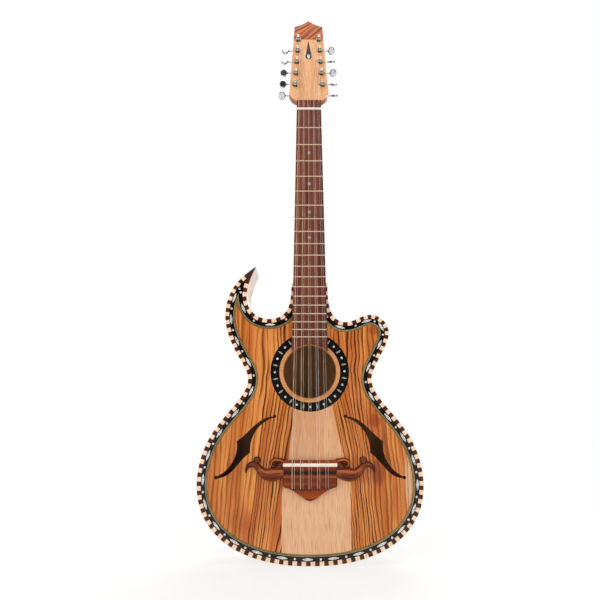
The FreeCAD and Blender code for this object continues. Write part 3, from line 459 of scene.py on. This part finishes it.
@dataclass(frozen=True)
class Lacquer:
    """Near-black or deep-coloured material under clear varnish."""

    name: str
    colour: str
    fleck: str
    roughness: float = 0.25

    def make(self) -> bpy.types.Material:
        """Cloudy noise lightens the colour a little; faint fine scratches roughen it."""
        b = Bench(self.name)
        x, y, z = b.place()
        cloud = b.smooth(b.noise(x / 6, y / 6, z / 6, 4.0, 0.6, 21), 0.5, 0.75)
        dust = b.noise(x / 0.6, y / 0.6, z / 0.6, 2.0, 0.6, 22)
        colour = b.mix(cloud * 0.5, shade(self.colour), shade(self.fleck))
        return b.finish(colour, self.roughness + (dust - 0.5) * 0.2, dust, 0.012, Coat_Weight=0.15,
                        Coat_Roughness=0.08, Specular_IOR_Level=0.3)


@dataclass(frozen=True)
class ShellInlay:
    """Mother of pearl: bright, cloudy, and faintly coloured; greener in the rosette."""

    name: str
    rosette_centre: tuple[float, float]
    rosette_reach: float
    rosette_pairs: int
    board_from: float
    board_to: float
    white: str = "EFEDE8"
    lilac: str = "A9A6AC"
    greenish: str = "B4BFB4"
    slender_tones: tuple = ("6E6D48", "C9C6A4")
    board_tones: tuple = ("8F8A92", "B5B0B6")
    growth_tone: str = "77737A"
    slender_turn: float = -0.07 * math.pi
    rosette_edge_mm: float = 2
    board_edge_mm: float = 5

    def make(self) -> bpy.types.Material:
        """Lobes of noise shift between white, lilac and green, with fine growth lines.

        In the rosette the slender pieces, which lie half way between the dots, are of a
        darker green shell. The fingerboard's dots are of a grey shell.
        """
        b = Bench(self.name)
        x, y, z = b.place()
        swirl = b.noise(x / 5, y / 5, z / 5, 3.0, 0.6, 31)
        hue = b.noise(x / 2.6 + swirl * 3, y / 3, z / 2.6, 2.0, 0.5, 32)
        growth = b.noise(x / 0.5 + swirl * 6, y, z / 2.2, 2.0, 0.5, 33)
        white = b.mix(b.smooth(hue, 0.40, 0.60), shade(self.white), shade(self.lilac))
        white = b.mix(b.smooth(hue, 0.46, 0.34) * 0.7, white, shade(self.greenish))
        dx = x - self.rosette_centre[0]
        dz = z - self.rosette_centre[1]
        away = b.maths("SQRT", dx * dx + dz * dz)
        edge = self.rosette_edge_mm
        near = b.smooth(away, self.rosette_reach + edge, self.rosette_reach - edge)
        angle = b.maths("ARCTAN2", dz, dx) * self.rosette_pairs + self.slender_turn
        slender = b.smooth(b.maths("COSINE", angle), 0.1, -0.1) * near
        green = b.mix(b.smooth(growth, 0.4, 0.62), *map(shade, self.slender_tones))
        colour = b.mix(slender, white, green)
        above = b.smooth(z, self.board_from, self.board_from + self.board_edge_mm)
        on_board = above * b.smooth(z, self.board_to, self.board_to - self.board_edge_mm)
        grey = b.mix(b.smooth(hue, 0.4, 0.6), *map(shade, self.board_tones))
        colour = b.mix(on_board, colour, grey)
        colour = b.mix(b.smooth(growth, 0.5, 0.7) * 0.4, colour, shade(self.growth_tone))
        return b.finish(colour, 0.2 + (growth - 0.5) * 0.1, growth, 0.02, Coat_Weight=0.3,
                        Coat_Roughness=0.05)


@dataclass(frozen=True)
class Bone:
    """Polished bone with faint upright fibres."""

    name: str
    light: str = "F6EBDD"
    middle: str = "EADAC4"
    fibre_tone: str = "CDB391"

    def make(self) -> bpy.types.Material:
        """Fine stretched noise yellows the bone along its fibres."""
        b = Bench(self.name)
        x, y, z = b.place()
        fibre = b.noise(x / 9, y / 0.6, z / 0.6, 3.0, 0.6, 41)
        cloud = b.noise(x / 12, y / 5, z / 5, 3.0, 0.5, 42)
        ground = b.mix(b.smooth(cloud, 0.35, 0.7), shade(self.light), shade(self.middle))
        colour = b.mix(b.smooth(fibre, 0.5, 0.8) * 0.5, ground, shade(self.fibre_tone))
        return b.finish(colour, 0.3 + (cloud - 0.5) * 0.1, fibre, 0.02, Coat_Weight=0.3,
                        Coat_Roughness=0.1, Subsurface_Weight=0.1, Subsurface_Scale=0.002)


@dataclass(frozen=True)
class Metal:
    """Bright metal with brushed lines, finger marks and dulled patches."""

    name: str
    colour: str
    dull: str
    roughness: float = 0.12
    brush_mm: float = 0.25
    brush_stretch: float = 14

    def make(self) -> bpy.types.Material:
        """Fine noise gives brushed lines; broad noise gives the marks that handling leaves."""
        b = Bench(self.name)
        x, y, z = b.place()
        length = self.brush_mm * self.brush_stretch
        brush = b.noise(x / self.brush_mm, y / self.brush_mm, z / length, 2.0, 0.6, 51)
        mark = b.smooth(b.noise(x / 4, y / 4, z / 4, 4.0, 0.65, 52), 0.5, 0.7)
        colour = b.mix(mark * 0.5, shade(self.colour), shade(self.dull))
        roughness = self.roughness + mark * 0.12 + (brush - 0.5) * 0.08
        return b.finish(colour, roughness, brush, 0.006, Metallic=1.0)


@dataclass(frozen=True)
class StringWire:
    """Steel wire, plain or wound with bronze."""

    name: str
    colour: str
    tarnish: str
    pitch_mm: float
    depth_mm: float

    def make(self) -> bpy.types.Material:
        """Windings are a sine along the string; tarnish is broad noise along it."""
        b = Bench(self.name)
        x, y, z = b.place()
        turns = b.maths("SINE", z * (2 * math.pi / self.pitch_mm)) * 0.5 + 0.5
        tarnish = b.smooth(b.noise(x / 3, y / 3, z / 22, 3.0, 0.6, 61), 0.4, 0.7)
        colour = b.mix(tarnish * 0.7, shade(self.colour), shade(self.tarnish))
        return b.finish(colour, 0.28 + tarnish * 0.15, turns, self.depth_mm, Metallic=0.45)


@dataclass(frozen=True)
class HornTip:
    """Dark end of the horn on the face, over the pale wood of its walls."""

    name: str
    cap_to_mm: float
    dark: str = "3A2014"
    dark_streak: str = "5F3A24"
    pale: str = "F4E4D8"
    pale_streak: str = "D2B49C"
    edge_mm: float = 0.15

    def make(self) -> bpy.types.Material:
        """The wood changes at the depth where the cap's underside meets the wall."""
        b = Bench(self.name)
        x, y, z = b.place()
        grain = b.noise((x + z) / 30, (x - z) / 1.4, y / 3, 3.0, 0.6, 71)
        fibre = b.noise(x / 20, y / 0.6, z / 20, 2.0, 0.6, 72)
        cap = b.mix(b.smooth(grain, 0.45, 0.7), shade(self.dark), shade(self.dark_streak))
        wall = b.mix(b.smooth(fibre, 0.4, 0.75) * 0.5, shade(self.pale), shade(self.pale_streak))
        below = b.smooth(y, self.cap_to_mm - self.edge_mm, self.cap_to_mm + self.edge_mm)
        colour = b.mix(below, cap, wall)
        return b.finish(colour, 0.35 + (grain - 0.5) * 0.15, fibre, 0.03, Coat_Weight=0.35,
                        Coat_Roughness=0.12)


# ---------------------------------------------------------------- mesh work
CARVED_WELD = 1e-7  # metres within which points of a new mesh are one
FRAME_WELD = 1e-6  # the same for a frame piece
FLAT_DEG = 0.6  # faces that meet below this are merged
SHARP_DEG = 32  # edges above this stay sharp in the shading
BEVEL_DEG = 34  # edges above this are rounded
BEVEL_STEPS = 2


def through(points: np.ndarray, count: int) -> np.ndarray:
    """Smooth curve through points: between two, a cubic whose slopes are half the neighbours' gap.

    Args:
        points: the points, one row each.
        count: how many places are wanted along the curve.
    Returns:
        The places, evenly spaced in the points' own count.
    """
    padded = np.vstack([2 * points[0] - points[1], points, 2 * points[-1] - points[-2]])
    steps = np.linspace(0, len(points) - 1, count)
    i = np.minimum(steps.astype(int), len(points) - 2)
    t = (steps - i)[:, None]
    a, b, c, d = padded[i], padded[i + 1], padded[i + 2], padded[i + 3]
    square = 2 * a - 5 * b + 4 * c - d
    cube = 3 * b - a - 3 * c + d
    return 0.5 * (2 * b + (c - a) * t + square * t ** 2 + cube * t ** 3)


def loft(rings: np.ndarray) -> tuple[np.ndarray, list]:
    """Skin over closed rings of equal count, with a flat cap on each end.

    Args:
        rings: array of rings, points and coordinates.
    Returns:
        The vertices and the faces.
    """
    n, k, _ = rings.shape
    i, j = np.meshgrid(np.arange(n - 1), np.arange(k), indexing="ij")
    a = (i * k + j).ravel()
    b = (i * k + (j + 1) % k).ravel()
    quads = np.stack([a, b, b + k, a + k], axis=1).tolist()
    caps = [list(range(k))[::-1], list(range((n - 1) * k, n * k))]
    return rings.reshape(-1, 3), quads + caps


def join(shells: list[tuple[np.ndarray, list]]) -> tuple[np.ndarray, list]:
    """Several closed shells as one list of vertices and faces."""
    vertices = np.vstack([v for v, _ in shells])
    faces: list = []
    start = 0
    for v, f in shells:
        faces += [[start + q for q in face] for face in f]
        start += len(v)
    return vertices, faces


def new_piece(name: str, vertices: np.ndarray, faces: list, sharp_deg: float) -> bpy.types.Object:
    """Makes an object from vertices in metres, its faces outwards and smooth below an angle."""
    mesh = bpy.data.meshes.new(name)
    mesh.from_pydata(vertices.tolist(), [], faces)
    work = bmesh.new()
    work.from_mesh(mesh)
    bmesh.ops.remove_doubles(work, verts=work.verts, dist=CARVED_WELD)
    bmesh.ops.recalc_face_normals(work, faces=work.faces)
    work.to_mesh(mesh)
    work.free()
    mesh.shade_smooth()
    mesh.set_sharp_from_angle(angle=math.radians(sharp_deg))
    piece = bpy.data.objects.new(name, mesh)
    bpy.context.scene.collection.objects.link(piece)
    return piece


def softened(node: str, name: str, width_mm: float) -> bpy.types.Object:
    """Copy of a frame piece with its triangles merged and its sharp edges rounded."""
    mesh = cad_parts[node].data.copy()
    mesh.name = name
    work = bmesh.new()
    work.from_mesh(mesh)
    bmesh.ops.remove_doubles(work, verts=work.verts, dist=FRAME_WELD)
    bmesh.ops.dissolve_limit(work, angle_limit=math.radians(FLAT_DEG), verts=work.verts,
                             edges=work.edges)
    work.to_mesh(mesh)
    work.free()
    mesh.shade_smooth()
    mesh.set_sharp_from_angle(angle=math.radians(SHARP_DEG))
    piece = bpy.data.objects.new(name, mesh)
    bpy.context.scene.collection.objects.link(piece)
    bevel = piece.modifiers.new("rounded_edges", "BEVEL")
    bevel.width = width_mm * MM
    bevel.segments = BEVEL_STEPS
    bevel.limit_method = "ANGLE"
    bevel.angle_limit = math.radians(BEVEL_DEG)
    bevel.use_clamp_overlap = True
    bevel.harden_normals = True
    return piece


def dress(piece: bpy.types.Object, material: bpy.types.Material) -> None:
    """Gives a piece its finish."""
    piece.data.materials.clear()
    piece.data.materials.append(material)


def stand_in(piece: bpy.types.Object, nodes: list[str], body: str, material: bpy.types.Material) -> None:
    """Puts a new piece in place of frame pieces, on their body."""
    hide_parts(*nodes)
    dress(piece, material)
    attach(piece, body)
    LOG.info("%s stands for %s", piece.name, ", ".join(nodes))


def dress_nodes(names: list[str], material: bpy.types.Material) -> None:
    """Gives frame pieces their finish."""
    for name in names:
        dress(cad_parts[name], material)
        LOG.info("%s has the finish %s", name, material.name)


# ---------------------------------------------------------------- sub-assemblies
BODY = "instrument"
FACE_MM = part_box("soundboard_center")[0].y / MM
RING_LOW, RING_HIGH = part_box("rosette_ring")
HOLE_CENTRE_MM = ((RING_LOW.x + RING_HIGH.x) / 2 / MM, (RING_LOW.z + RING_HIGH.z) / 2 / MM)
ROSETTE_MM = (RING_HIGH.x - RING_LOW.x) / 2 / MM
BOARD_LOW, BOARD_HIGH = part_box("fingerboard")
FIRST_DOT_MM = 120  # the fingerboard's dots lie higher than this above its end
ROSETTE_PAIRS = 16


@dataclass
class Body:
    """Soundboard, back, ribs, horn tip and what is inside."""

    patches: tuple = (
        ((116, 150), (14, 30), 0.75), ((112, 234), (14, 14), 0.6), ((113, 391), (13, 11), 0.6),
        ((96, 150), (20, 26), 0.35))
    bass_patches: tuple = (
        ((-115, 72), (24, 26), 0.3), ((-120, 440), (14, 26), 0.3), ((-128, 150), (16, 30), 0.2))
    sapwood: tuple = ((166, 131), (9, 55))
    cap_mm: float = 6.0

    def build(self) -> None:
        """Dresses every piece of the body."""
        bass = StripedTop("striped_bass", -1, patches=self.bass_patches, seed=3.0)
        treble = StripedTop("striped_treble", 1, dense_mm=(18.0, 80.0), dense_lines=4.2,
                            wander_mm=26.0, thickness=0.42, patches=self.patches,
                            sapwood=self.sapwood, seed=8.0)
        dress_nodes(["soundboard_bass"], bass.make())
        dress_nodes(["soundboard_treble"], treble.make())
        dress_nodes(["soundboard_center"], FleckedWedge("flecked_wedge").make())
        inside_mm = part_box("back_bass")[0].y / MM
        for side, word in ((-1, "bass"), (1, "treble")):
            half = StripedTop("striped_back_%s" % word, side, lean=0.0, dense_mm=(4.0, 120.0),
                              dense_lines=5.0, calm_mm=11.0, inside_mm=inside_mm, seed=15.0)
            dress_nodes(["back_%s" % word], half.make())
        wall = Timber("pale_rib_wood", "F6E9DD", "EEDCCB", "D2B39A", Grain.ROUND_RIM, streak_mm=2.2,
                      streak_share=0.3, pore_share=0.15, roughness=0.35)
        dress_nodes(["rib_bass", "rib_treble"], wall.make())
        inner = Timber("inner_wood", "9A7444", "876238", "5E4222", streak_mm=2.0, coat=0.0,
                       roughness=0.7, seed=4)
        hidden = ["body_blocks", "linings", "braces", "soundboard_patches"]
        dress_nodes(hidden, inner.make())
        tip = HornTip("horn_tip_wood", FACE_MM + self.cap_mm)
        dress_nodes(["horn_tip"], tip.make())


@dataclass
class Trim:
    """Edging, border, purfling, rosette and inlays."""

    def build(self) -> None:
        """Dresses every piece of the trim."""
        light = Timber("light_edging", "FADCBC", "F3CBA4", "D9A277", streak_mm=1.5, broad_mm=6,
                       streak_share=0.35, pore_share=0.2, roughness=0.35, seed=5)
        dark = Timber("dark_edging", "58261A", "3C150E", "200906", streak_mm=1.5, broad_mm=6,
                      streak_share=0.5, roughness=0.35, seed=6)
        dress_nodes(["binding_light"], light.make())
        dress_nodes(["binding_dark", "back_binding"], dark.make())
        black = Lacquer("black_border", "080606", "1D1614").make()
        dress_nodes(["border_black", "rosette_ring"], black)
        ring = Timber("ring_wood", "D89860", "C68048", "864A20", Grain.ACROSS, streak_mm=2.0,
                      roughness=0.4, seed=7)
        dress_nodes(["soundhole_ring"], ring.make())
        gold = Timber("gold_line", "A08C5A", "877344", "5A4A28", Grain.ROUND_RIM, streak_mm=1.0,
                      roughness=0.35, seed=9)
        dress_nodes(["purfling_gold"], gold.make())
        line = Lacquer("dark_line", "1C120C", "38261A", 0.35)
        dress_nodes(["purfling_dark"], line.make())
        shell = ShellInlay("shell", HOLE_CENTRE_MM, ROSETTE_MM, ROSETTE_PAIRS,
                           BOARD_LOW.z / MM + FIRST_DOT_MM, BOARD_HIGH.z / MM - 2)
        dress_nodes(["pearl_inlays"], shell.make())


@dataclass
class Wing:
    """One carved wing of the bridge: a leaf that ends in a hook, a shoulder scroll and a curl.

    Places are in millimetres: out from the middle, up from the bottom of the body.
    """

    side: int
    leaf_path: tuple = ((44.5, 149.5), (54, 146.8), (65.5, 145.0), (76.2, 146.0), (84.5, 152.6),
                        (91.5, 160.2), (99.5, 161.6), (106, 156.6), (108.8, 147.8))
    leaf_half: tuple = (6.6, 9.8, 11.2, 8.6, 6.4, 5.2, 4.6, 3.0, 0.6)
    leaf_rise: tuple = (5.6, 6.4, 6.5, 6.4, 5.8, 5.0, 4.2, 3.6, 2.0)
    scroll_path: tuple = ((44.5, 166.4), (52, 168.6), (59.5, 169.2), (64.6, 165.6), (64.8, 160.2),
                          (60.8, 158.0), (57.8, 161.0))
    scroll_half: tuple = (2.8, 3.3, 3.2, 2.6, 2.3, 1.9, 1.3)
    scroll_rise: tuple = (6.3, 6.4, 6.4, 6.2, 5.8, 5.4, 5.0)
    web_path: tuple = ((44.5, 160.5), (52, 161.0), (59, 161.5), (64.5, 162.0))
    web_half: tuple = (10.0, 10.5, 9.5, 6.5)
    web_rise: tuple = (4.6, 4.4, 4.2, 3.6)
    curl_centre: tuple = (89.8, 168.6)
    curl_radius: float = 5.9
    curl_rise: float = 5.2
    stations: int = 90
    across: int = 29
    curl_rings: int = 26
    curl_points: int = 48
    spiral_turn: float = 13.0
    sharp_deg: float = 75.0

    def strip(self, path: tuple, half: tuple, rise: tuple,
              profile: Callable) -> tuple[np.ndarray, list]:
        """Carries a carved profile along a path on the soundboard.

        At each station the section runs square to the path from one edge to the other,
        and stands off the board by the rise there times the profile.

        Args:
            path: points of the middle line.
            half: half widths at the points.
            rise: heights at the points.
            profile: share of the rise, from the place along (0 to 1) and across (-1 to 1).
        Returns:
            The vertices and the faces.
        """
        line = through(np.array(path, float), self.stations)
        widths = through(np.array(half, float)[:, None], self.stations)[:, 0]
        heights = through(np.array(rise, float)[:, None], self.stations)[:, 0]
        way = np.gradient(line, axis=0)
        way /= np.linalg.norm(way, axis=1)[:, None]
        square = np.stack([-way[:, 1], way[:, 0]], axis=1)
        s = np.linspace(0, 1, self.stations)[:, None]
        t = -np.cos(np.linspace(0, math.pi, self.across))[None, :]
        flat = line[:, None, :] + square[:, None, :] * (widths[:, None] * t)[:, :, None]
        high = heights[:, None] * profile(s, t)
        top = np.dstack([flat, high])
        foot = np.dstack([flat[:, ::-1][:, [0, -1]], np.zeros((self.stations, 2))])
        return self.placed(np.concatenate([top, foot], axis=1))

    def placed(self, rings: np.ndarray) -> tuple[np.ndarray, list]:
        """Turns out, up and high in millimetres into the frame's metres, and skins the rings."""
        out, up, high = rings[..., 0], rings[..., 1], rings[..., 2]
        return loft(np.stack([out * self.side, FACE_MM - high, up], axis=-1) * MM)

    def leaf(self, s: np.ndarray, t: np.ndarray) -> np.ndarray:
        """Rounded leaf: a hollow under a bright ridge near the bridge, fading along the arm."""
        dome = (1 - t ** 2) ** 0.38
        belly = np.exp(-((s - 0.26) / 0.17) ** 4)
        hollow = 0.52 * belly * np.exp(-((t + 0.28) / 0.42) ** 4)
        inner = 0.30 * belly * np.exp(-((t + 0.28) / 0.22) ** 2)
        ridge = 0.16 * np.exp(-((t - 0.42) / 0.16) ** 2) * (1 - 0.5 * s)
        groove = 0.20 * np.exp(-((t - 0.72) / 0.10) ** 2) * (s < 0.8)
        veins = 0.05 * np.sin(9 * s + 16 * t) * belly
        return np.clip(0.22 + 0.74 * dome - hollow + inner + ridge * dome - groove + veins, 0.06, 1.0)

    def scroll(self, s: np.ndarray, t: np.ndarray) -> np.ndarray:
        """Rounded band with a fine groove along each edge."""
        dome = (1 - t ** 2) ** 0.42
        grooves = 0.22 * (np.exp(-((t - 0.6) / 0.13) ** 2) + np.exp(-((t + 0.6) / 0.13) ** 2))
        return np.clip(0.28 + 0.70 * dome - grooves + 0 * s, 0.06, 1.0)

    def web(self, s: np.ndarray, t: np.ndarray) -> np.ndarray:
        """Low ground between the scroll and the leaf."""
        return 0.75 + 0.2 * np.sin(7 * s + 3 * t) * (1 - t ** 2)

    def curl(self) -> tuple[np.ndarray, list]:
        """Domed curl: height falls as a half circle of the distance, less a spiral groove."""
        share = np.linspace(1, 0.03, self.curl_rings)[:, None]
        angle = np.linspace(0, 2 * math.pi, self.curl_points, endpoint=False)[None, :]
        dome = np.sqrt(np.clip(1 - share ** 2, 0, 1)) * 0.62 + 0.36
        wave = 0.5 + 0.5 * np.cos(angle - share * self.spiral_turn)
        spiral = 0.13 * wave * np.clip((1 - share) * 8, 0, 1)
        radius = self.curl_radius * share
        rings = np.stack([self.curl_centre[0] + radius * np.cos(angle),
                          self.curl_centre[1] + radius * np.sin(angle),
                          (dome - spiral) * self.curl_rise], axis=-1)
        foot = rings[:1].copy()
        foot[..., 2] = 0
        return self.placed(np.concatenate([foot, rings]))

    def build(self, material: bpy.types.Material) -> bpy.types.Object:
        """Joins the carved shells into one piece and dresses it."""
        shells = [self.strip(self.leaf_path, self.leaf_half, self.leaf_rise, self.leaf),
                  self.strip(self.scroll_path, self.scroll_half, self.scroll_rise, self.scroll),
                  self.strip(self.web_path, self.web_half, self.web_rise, self.web), self.curl()]
        name = "bridge_wing_bass" if self.side < 0 else "bridge_wing_treble"
        piece = new_piece(name, *join(shells), self.sharp_deg)
        dress(piece, material)
        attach(piece, BODY)
        LOG.info("%s is carved from %d shells", name, len(shells))
        return piece


@dataclass
class Bridge:
    """Bridge, its saddle and its two carved wings."""

    edge_mm: float = 0.45

    def build(self) -> None:
        """Rounds the bridge's edges, carves the wings and dresses all of it."""
        # The first band is painted shade, with some dirt, in the bridge's groove; the second is a
        # lighter band on the ledge just below it. The carved wood paints shade into the wings' low parts
        # and a highlight on their ridges.
        bands = ((145.6, 150.6, "0C0301", 0.9), (139.4, 144.8, "93502A", 0.55))
        plain = Timber("bridge_wood", "9A4209", "6C2404", "200600", Grain.ACROSS, streak_mm=3.2,
                       broad_mm=9, streak_share=0.85, wave_mm=7.0, roughness=0.36, coat=0.05, seed=12,
                       bands=bands).make()
        carved = Timber("carved_wood", "8A3D12", "6A270A", "270A03", Grain.ACROSS, streak_mm=3.2,
                        broad_mm=9, streak_share=0.7, wave_mm=7.0, roughness=0.36, coat=0.1,
                        relief_mm=(2.8, 5.9), seed=12).make()
        rounded = softened("bridge", "bridge_body", self.edge_mm)
        stand_in(rounded, ["bridge"], BODY, plain)
        wings = [Wing(side).build(carved) for side in (-1, 1)]
        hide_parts("bridge_wings")
        dress_nodes(["saddle", "nut"], Bone("bone").make())


@dataclass
class Neck:
    """Neck, fingerboard and frets."""

    def build(self) -> None:
        """Dresses the neck's pieces."""
        neck = Timber("neck_wood", "B06A48", "96502F", "5E2A16", streak_mm=2.6, streak_share=0.5,
                      pore_share=0.5, roughness=0.35, seed=14)
        board = Timber("rosewood", "7E4435", "5C2A1F", "260B06", streak_mm=5.0, broad_mm=13,
                       streak_share=0.8, pore_share=0.55, wave_mm=1.5, roughness=0.42, coat=0.05,
                       seed=16)
        dress_nodes(["neck"], neck.make())
        dress_nodes(["fingerboard", "nut_strip"], board.make())
        dress_nodes(["frets"], Metal("fret_metal", "E9D3B6", "C0A380", 0.22).make())


@dataclass
class Head:
    """Plates and inlay on the front of the head."""

    def build(self) -> None:
        """Dresses the head's pieces."""
        plate = Timber("head_plate_wood", "EAB486", "DFA06C", "B0703C", streak_mm=2.4, broad_mm=12,
                       streak_share=0.4, pore_share=0.2, wave_mm=1.2, roughness=0.35, seed=18).make()
        crown = StripedTop("crown_wood", 1, dense_mm=(-200.0, 1000.0), dense_lines=0.0, calm_mm=9.0,
                           lean=0.0, wander_mm=30.0, thickness=0.5, light="D98A4C", middle="C0682F",
                           halo="8C3E1C", line="7A3418", turn_deg=-48.0, seed=21.0).make()
        inlay = Lacquer("head_inlay_black", "14110C", "3A3524").make()
        dress_nodes(["headplate"], plate)
        dress_nodes(["headplate_crown"], crown)
        dress_nodes(["head_inlay"], inlay)


@dataclass
class Tuners:
    """Ten tuners: housings, bushings, screws, keys and posts."""

    count: int = 10

    def build(self) -> None:
        """Dresses the tuners' pieces."""
        chrome = Metal("chrome", "D4D4DA", "9C9CA4", 0.08).make()
        post = Metal("post_metal", "CCC6BE", "7C6850", 0.16).make()
        numbers = range(1, self.count + 1)
        dress_nodes(["tuner_key_%02d" % n for n in numbers], chrome)
        dress_nodes(["tuner_housings", "tuner_screws"], chrome)
        nickel = Metal("bushing_nickel", "8A8682", "5C5650", 0.2).make()
        dress_nodes(["tuner_bushings"], nickel)
        dress_nodes(["tuner_post_%02d" % n for n in numbers], post)


@dataclass
class Strings:
    """Five pairs of strings; the lower three pairs are wound."""

    wound_courses: int = 3
    courses: int = 5

    def build(self) -> None:
        """Dresses the strings."""
        wound = StringWire("wound_string", "E8CCAE", "B08C6C", 0.42, 0.04).make()
        plain = StringWire("plain_string", "F2EEE8", "C4BAAE", 6.0, 0.0005).make()
        for n in range(1, self.courses + 1):
            is_wound = n <= self.wound_courses
            dress_nodes(["strings_course_%d" % n], wound if is_wound else plain)


# ---------------------------------------------------------------- studio
WHITE: Colour = (1, 1, 1, 1)


@dataclass
class Softbox:
    """One large soft light that looks at a point of the instrument."""

    place: tuple[float, float, float]
    power: float
    width: float
    mirrored: bool = True
    target: tuple[float, float, float] = (0.0, 0.0, 0.5)

    def build(self, name: str) -> None:
        """Hangs the light."""
        data = bpy.data.lights.new(name, "AREA")
        data.energy = self.power
        data.size = self.width
        lamp = bpy.data.objects.new(name, data)
        lamp.location = self.place
        lamp.visible_glossy = self.mirrored
        gaze = Vector(self.target) - Vector(self.place)
        lamp.rotation_euler = gaze.to_track_quat("-Z", "Y").to_euler()
        bpy.context.scene.collection.objects.link(lamp)


@dataclass
class Studio:
    """Pale floor, white surroundings, soft lights and the camera."""

    camera_place: tuple[float, float, float] = (-0.017, -1.059, 0.245)
    pitch_deg: float = 11.06
    lens_mm: float = 35.0
    film_mm: float = 36.0
    floor_radii: tuple = (0.02, 0.6, 1.5, 3.0, 5.0, 9.0)
    floor_corners: int = 64
    floor_tones: tuple = ("F7F6F4", "FAFAF9")
    glow_near: float = 0.65
    glow_from_mm: float = 100
    glow_to_mm: float = 1500
    dim: Colour = (0.06, 0.06, 0.07, 1)
    bright: Colour = (0.95, 0.95, 0.95, 1)
    dim_to: float = -0.9
    bright_from: float = 0.5
    daylight: float = 0.8
    boxes: tuple = field(default_factory=lambda: (
        Softbox((-1.6, -2.0, 1.8), 40.0, 2.3, False), Softbox((1.8, -1.8, 1.0), 23.0, 2.0, False),
        Softbox((0.6, 2.0, 1.8), 30.0, 1.8), Softbox((0.0, -0.6, 2.6), 15.0, 1.6)))

    def floor(self) -> None:
        """Round pale floor that fades into the white surroundings far from the middle."""
        radii = np.array(self.floor_radii)[:, None]
        angle = np.linspace(0, 2 * math.pi, self.floor_corners, endpoint=False)[None, :]
        rings = np.stack([radii * np.cos(angle), radii * np.sin(angle), 0 * radii * angle], axis=-1)
        vertices, faces = loft(rings)
        mesh = bpy.data.meshes.new("floor")
        mesh.from_pydata(vertices.tolist(), [], faces[:-1])
        piece = bpy.data.objects.new("floor", mesh)
        bpy.context.scene.collection.objects.link(piece)
        b = Bench("pale_floor")
        x, y, z = b.place()
        away = b.maths("SQRT", x * x + y * y)
        glow_rise = 1 - self.glow_near
        far = b.smooth(away, self.glow_from_mm, self.glow_to_mm) * glow_rise + self.glow_near
        speck = b.noise(x / 9, y / 9, z, 4.0, 0.6, 91)
        colour = b.mix(b.smooth(speck, 0.3, 0.7), *map(shade, self.floor_tones))
        matt = b.node("ShaderNodeBsdfPrincipled", inputs={"Base Color": colour, "Roughness": 0.7})
        glow = b.node("ShaderNodeEmission", inputs={"Color": WHITE, "Strength": 1.0})
        both = b.node("ShaderNodeMixShader", inputs={0: far, 1: matt.outputs[0], 2: glow.outputs[0]})
        b.node("ShaderNodeOutputMaterial", inputs={"Surface": both.outputs[0]})
        piece.data.materials.append(b.owner)

    def surroundings(self) -> None:
        """White to look at; as light, bright behind the instrument and dim behind the viewer."""
        world = bpy.data.worlds.new("studio_white")
        bpy.context.scene.world = world
        b = Bench("studio_white", world)
        seen = b.node("ShaderNodeBackground", inputs={"Color": WHITE})
        coords = b.node("ShaderNodeTexCoord")
        parts = b.node("ShaderNodeSeparateXYZ", inputs={0: coords.outputs["Generated"]})
        reach = b.ramp(Value(b, parts.outputs["Y"]), self.dim_to, self.bright_from)
        stops = ((0.0, self.dim), (1.0, self.bright))
        tone = b.node("ShaderNodeValToRGB", {"stops": stops}, {0: reach})
        lit = b.node("ShaderNodeBackground",
                     inputs={"Color": tone.outputs[0], "Strength": self.daylight})
        path = b.node("ShaderNodeLightPath")
        both = b.node("ShaderNodeMixShader",
                      inputs={0: path.outputs["Is Camera Ray"], 1: lit.outputs[0], 2: seen.outputs[0]})
        b.node("ShaderNodeOutputWorld", inputs={0: both.outputs[0]})

    def camera(self) -> None:
        """Stands the camera in front, low, and tips it up."""
        data = bpy.data.cameras.new("camera")
        data.lens = self.lens_mm
        data.sensor_width = self.film_mm
        eye = bpy.data.objects.new("camera", data)
        eye.location = self.camera_place
        eye.rotation_euler = (math.radians(90 + self.pitch_deg), 0, 0)
        bpy.context.scene.collection.objects.link(eye)
        bpy.context.scene.camera = eye

    def build(self) -> None:
        """Sets up the whole studio."""
        self.floor()
        self.surroundings()
        self.camera()
        for number, box in enumerate(self.boxes, 1):
            box.build("softbox_%d" % number)
        bpy.context.scene.view_settings.view_transform = "Standard"
        LOG.info("studio is ready")


def main() -> None:
    """Builds and dresses the instrument."""
    logging.basicConfig(level=logging.INFO, format="%(name)s: %(message)s")
    for part in (Body(), Trim(), Bridge(), Neck(), Head(), Tuners(), Strings(), Studio()):
        part.build()


if __name__ == "__main__":
    main()
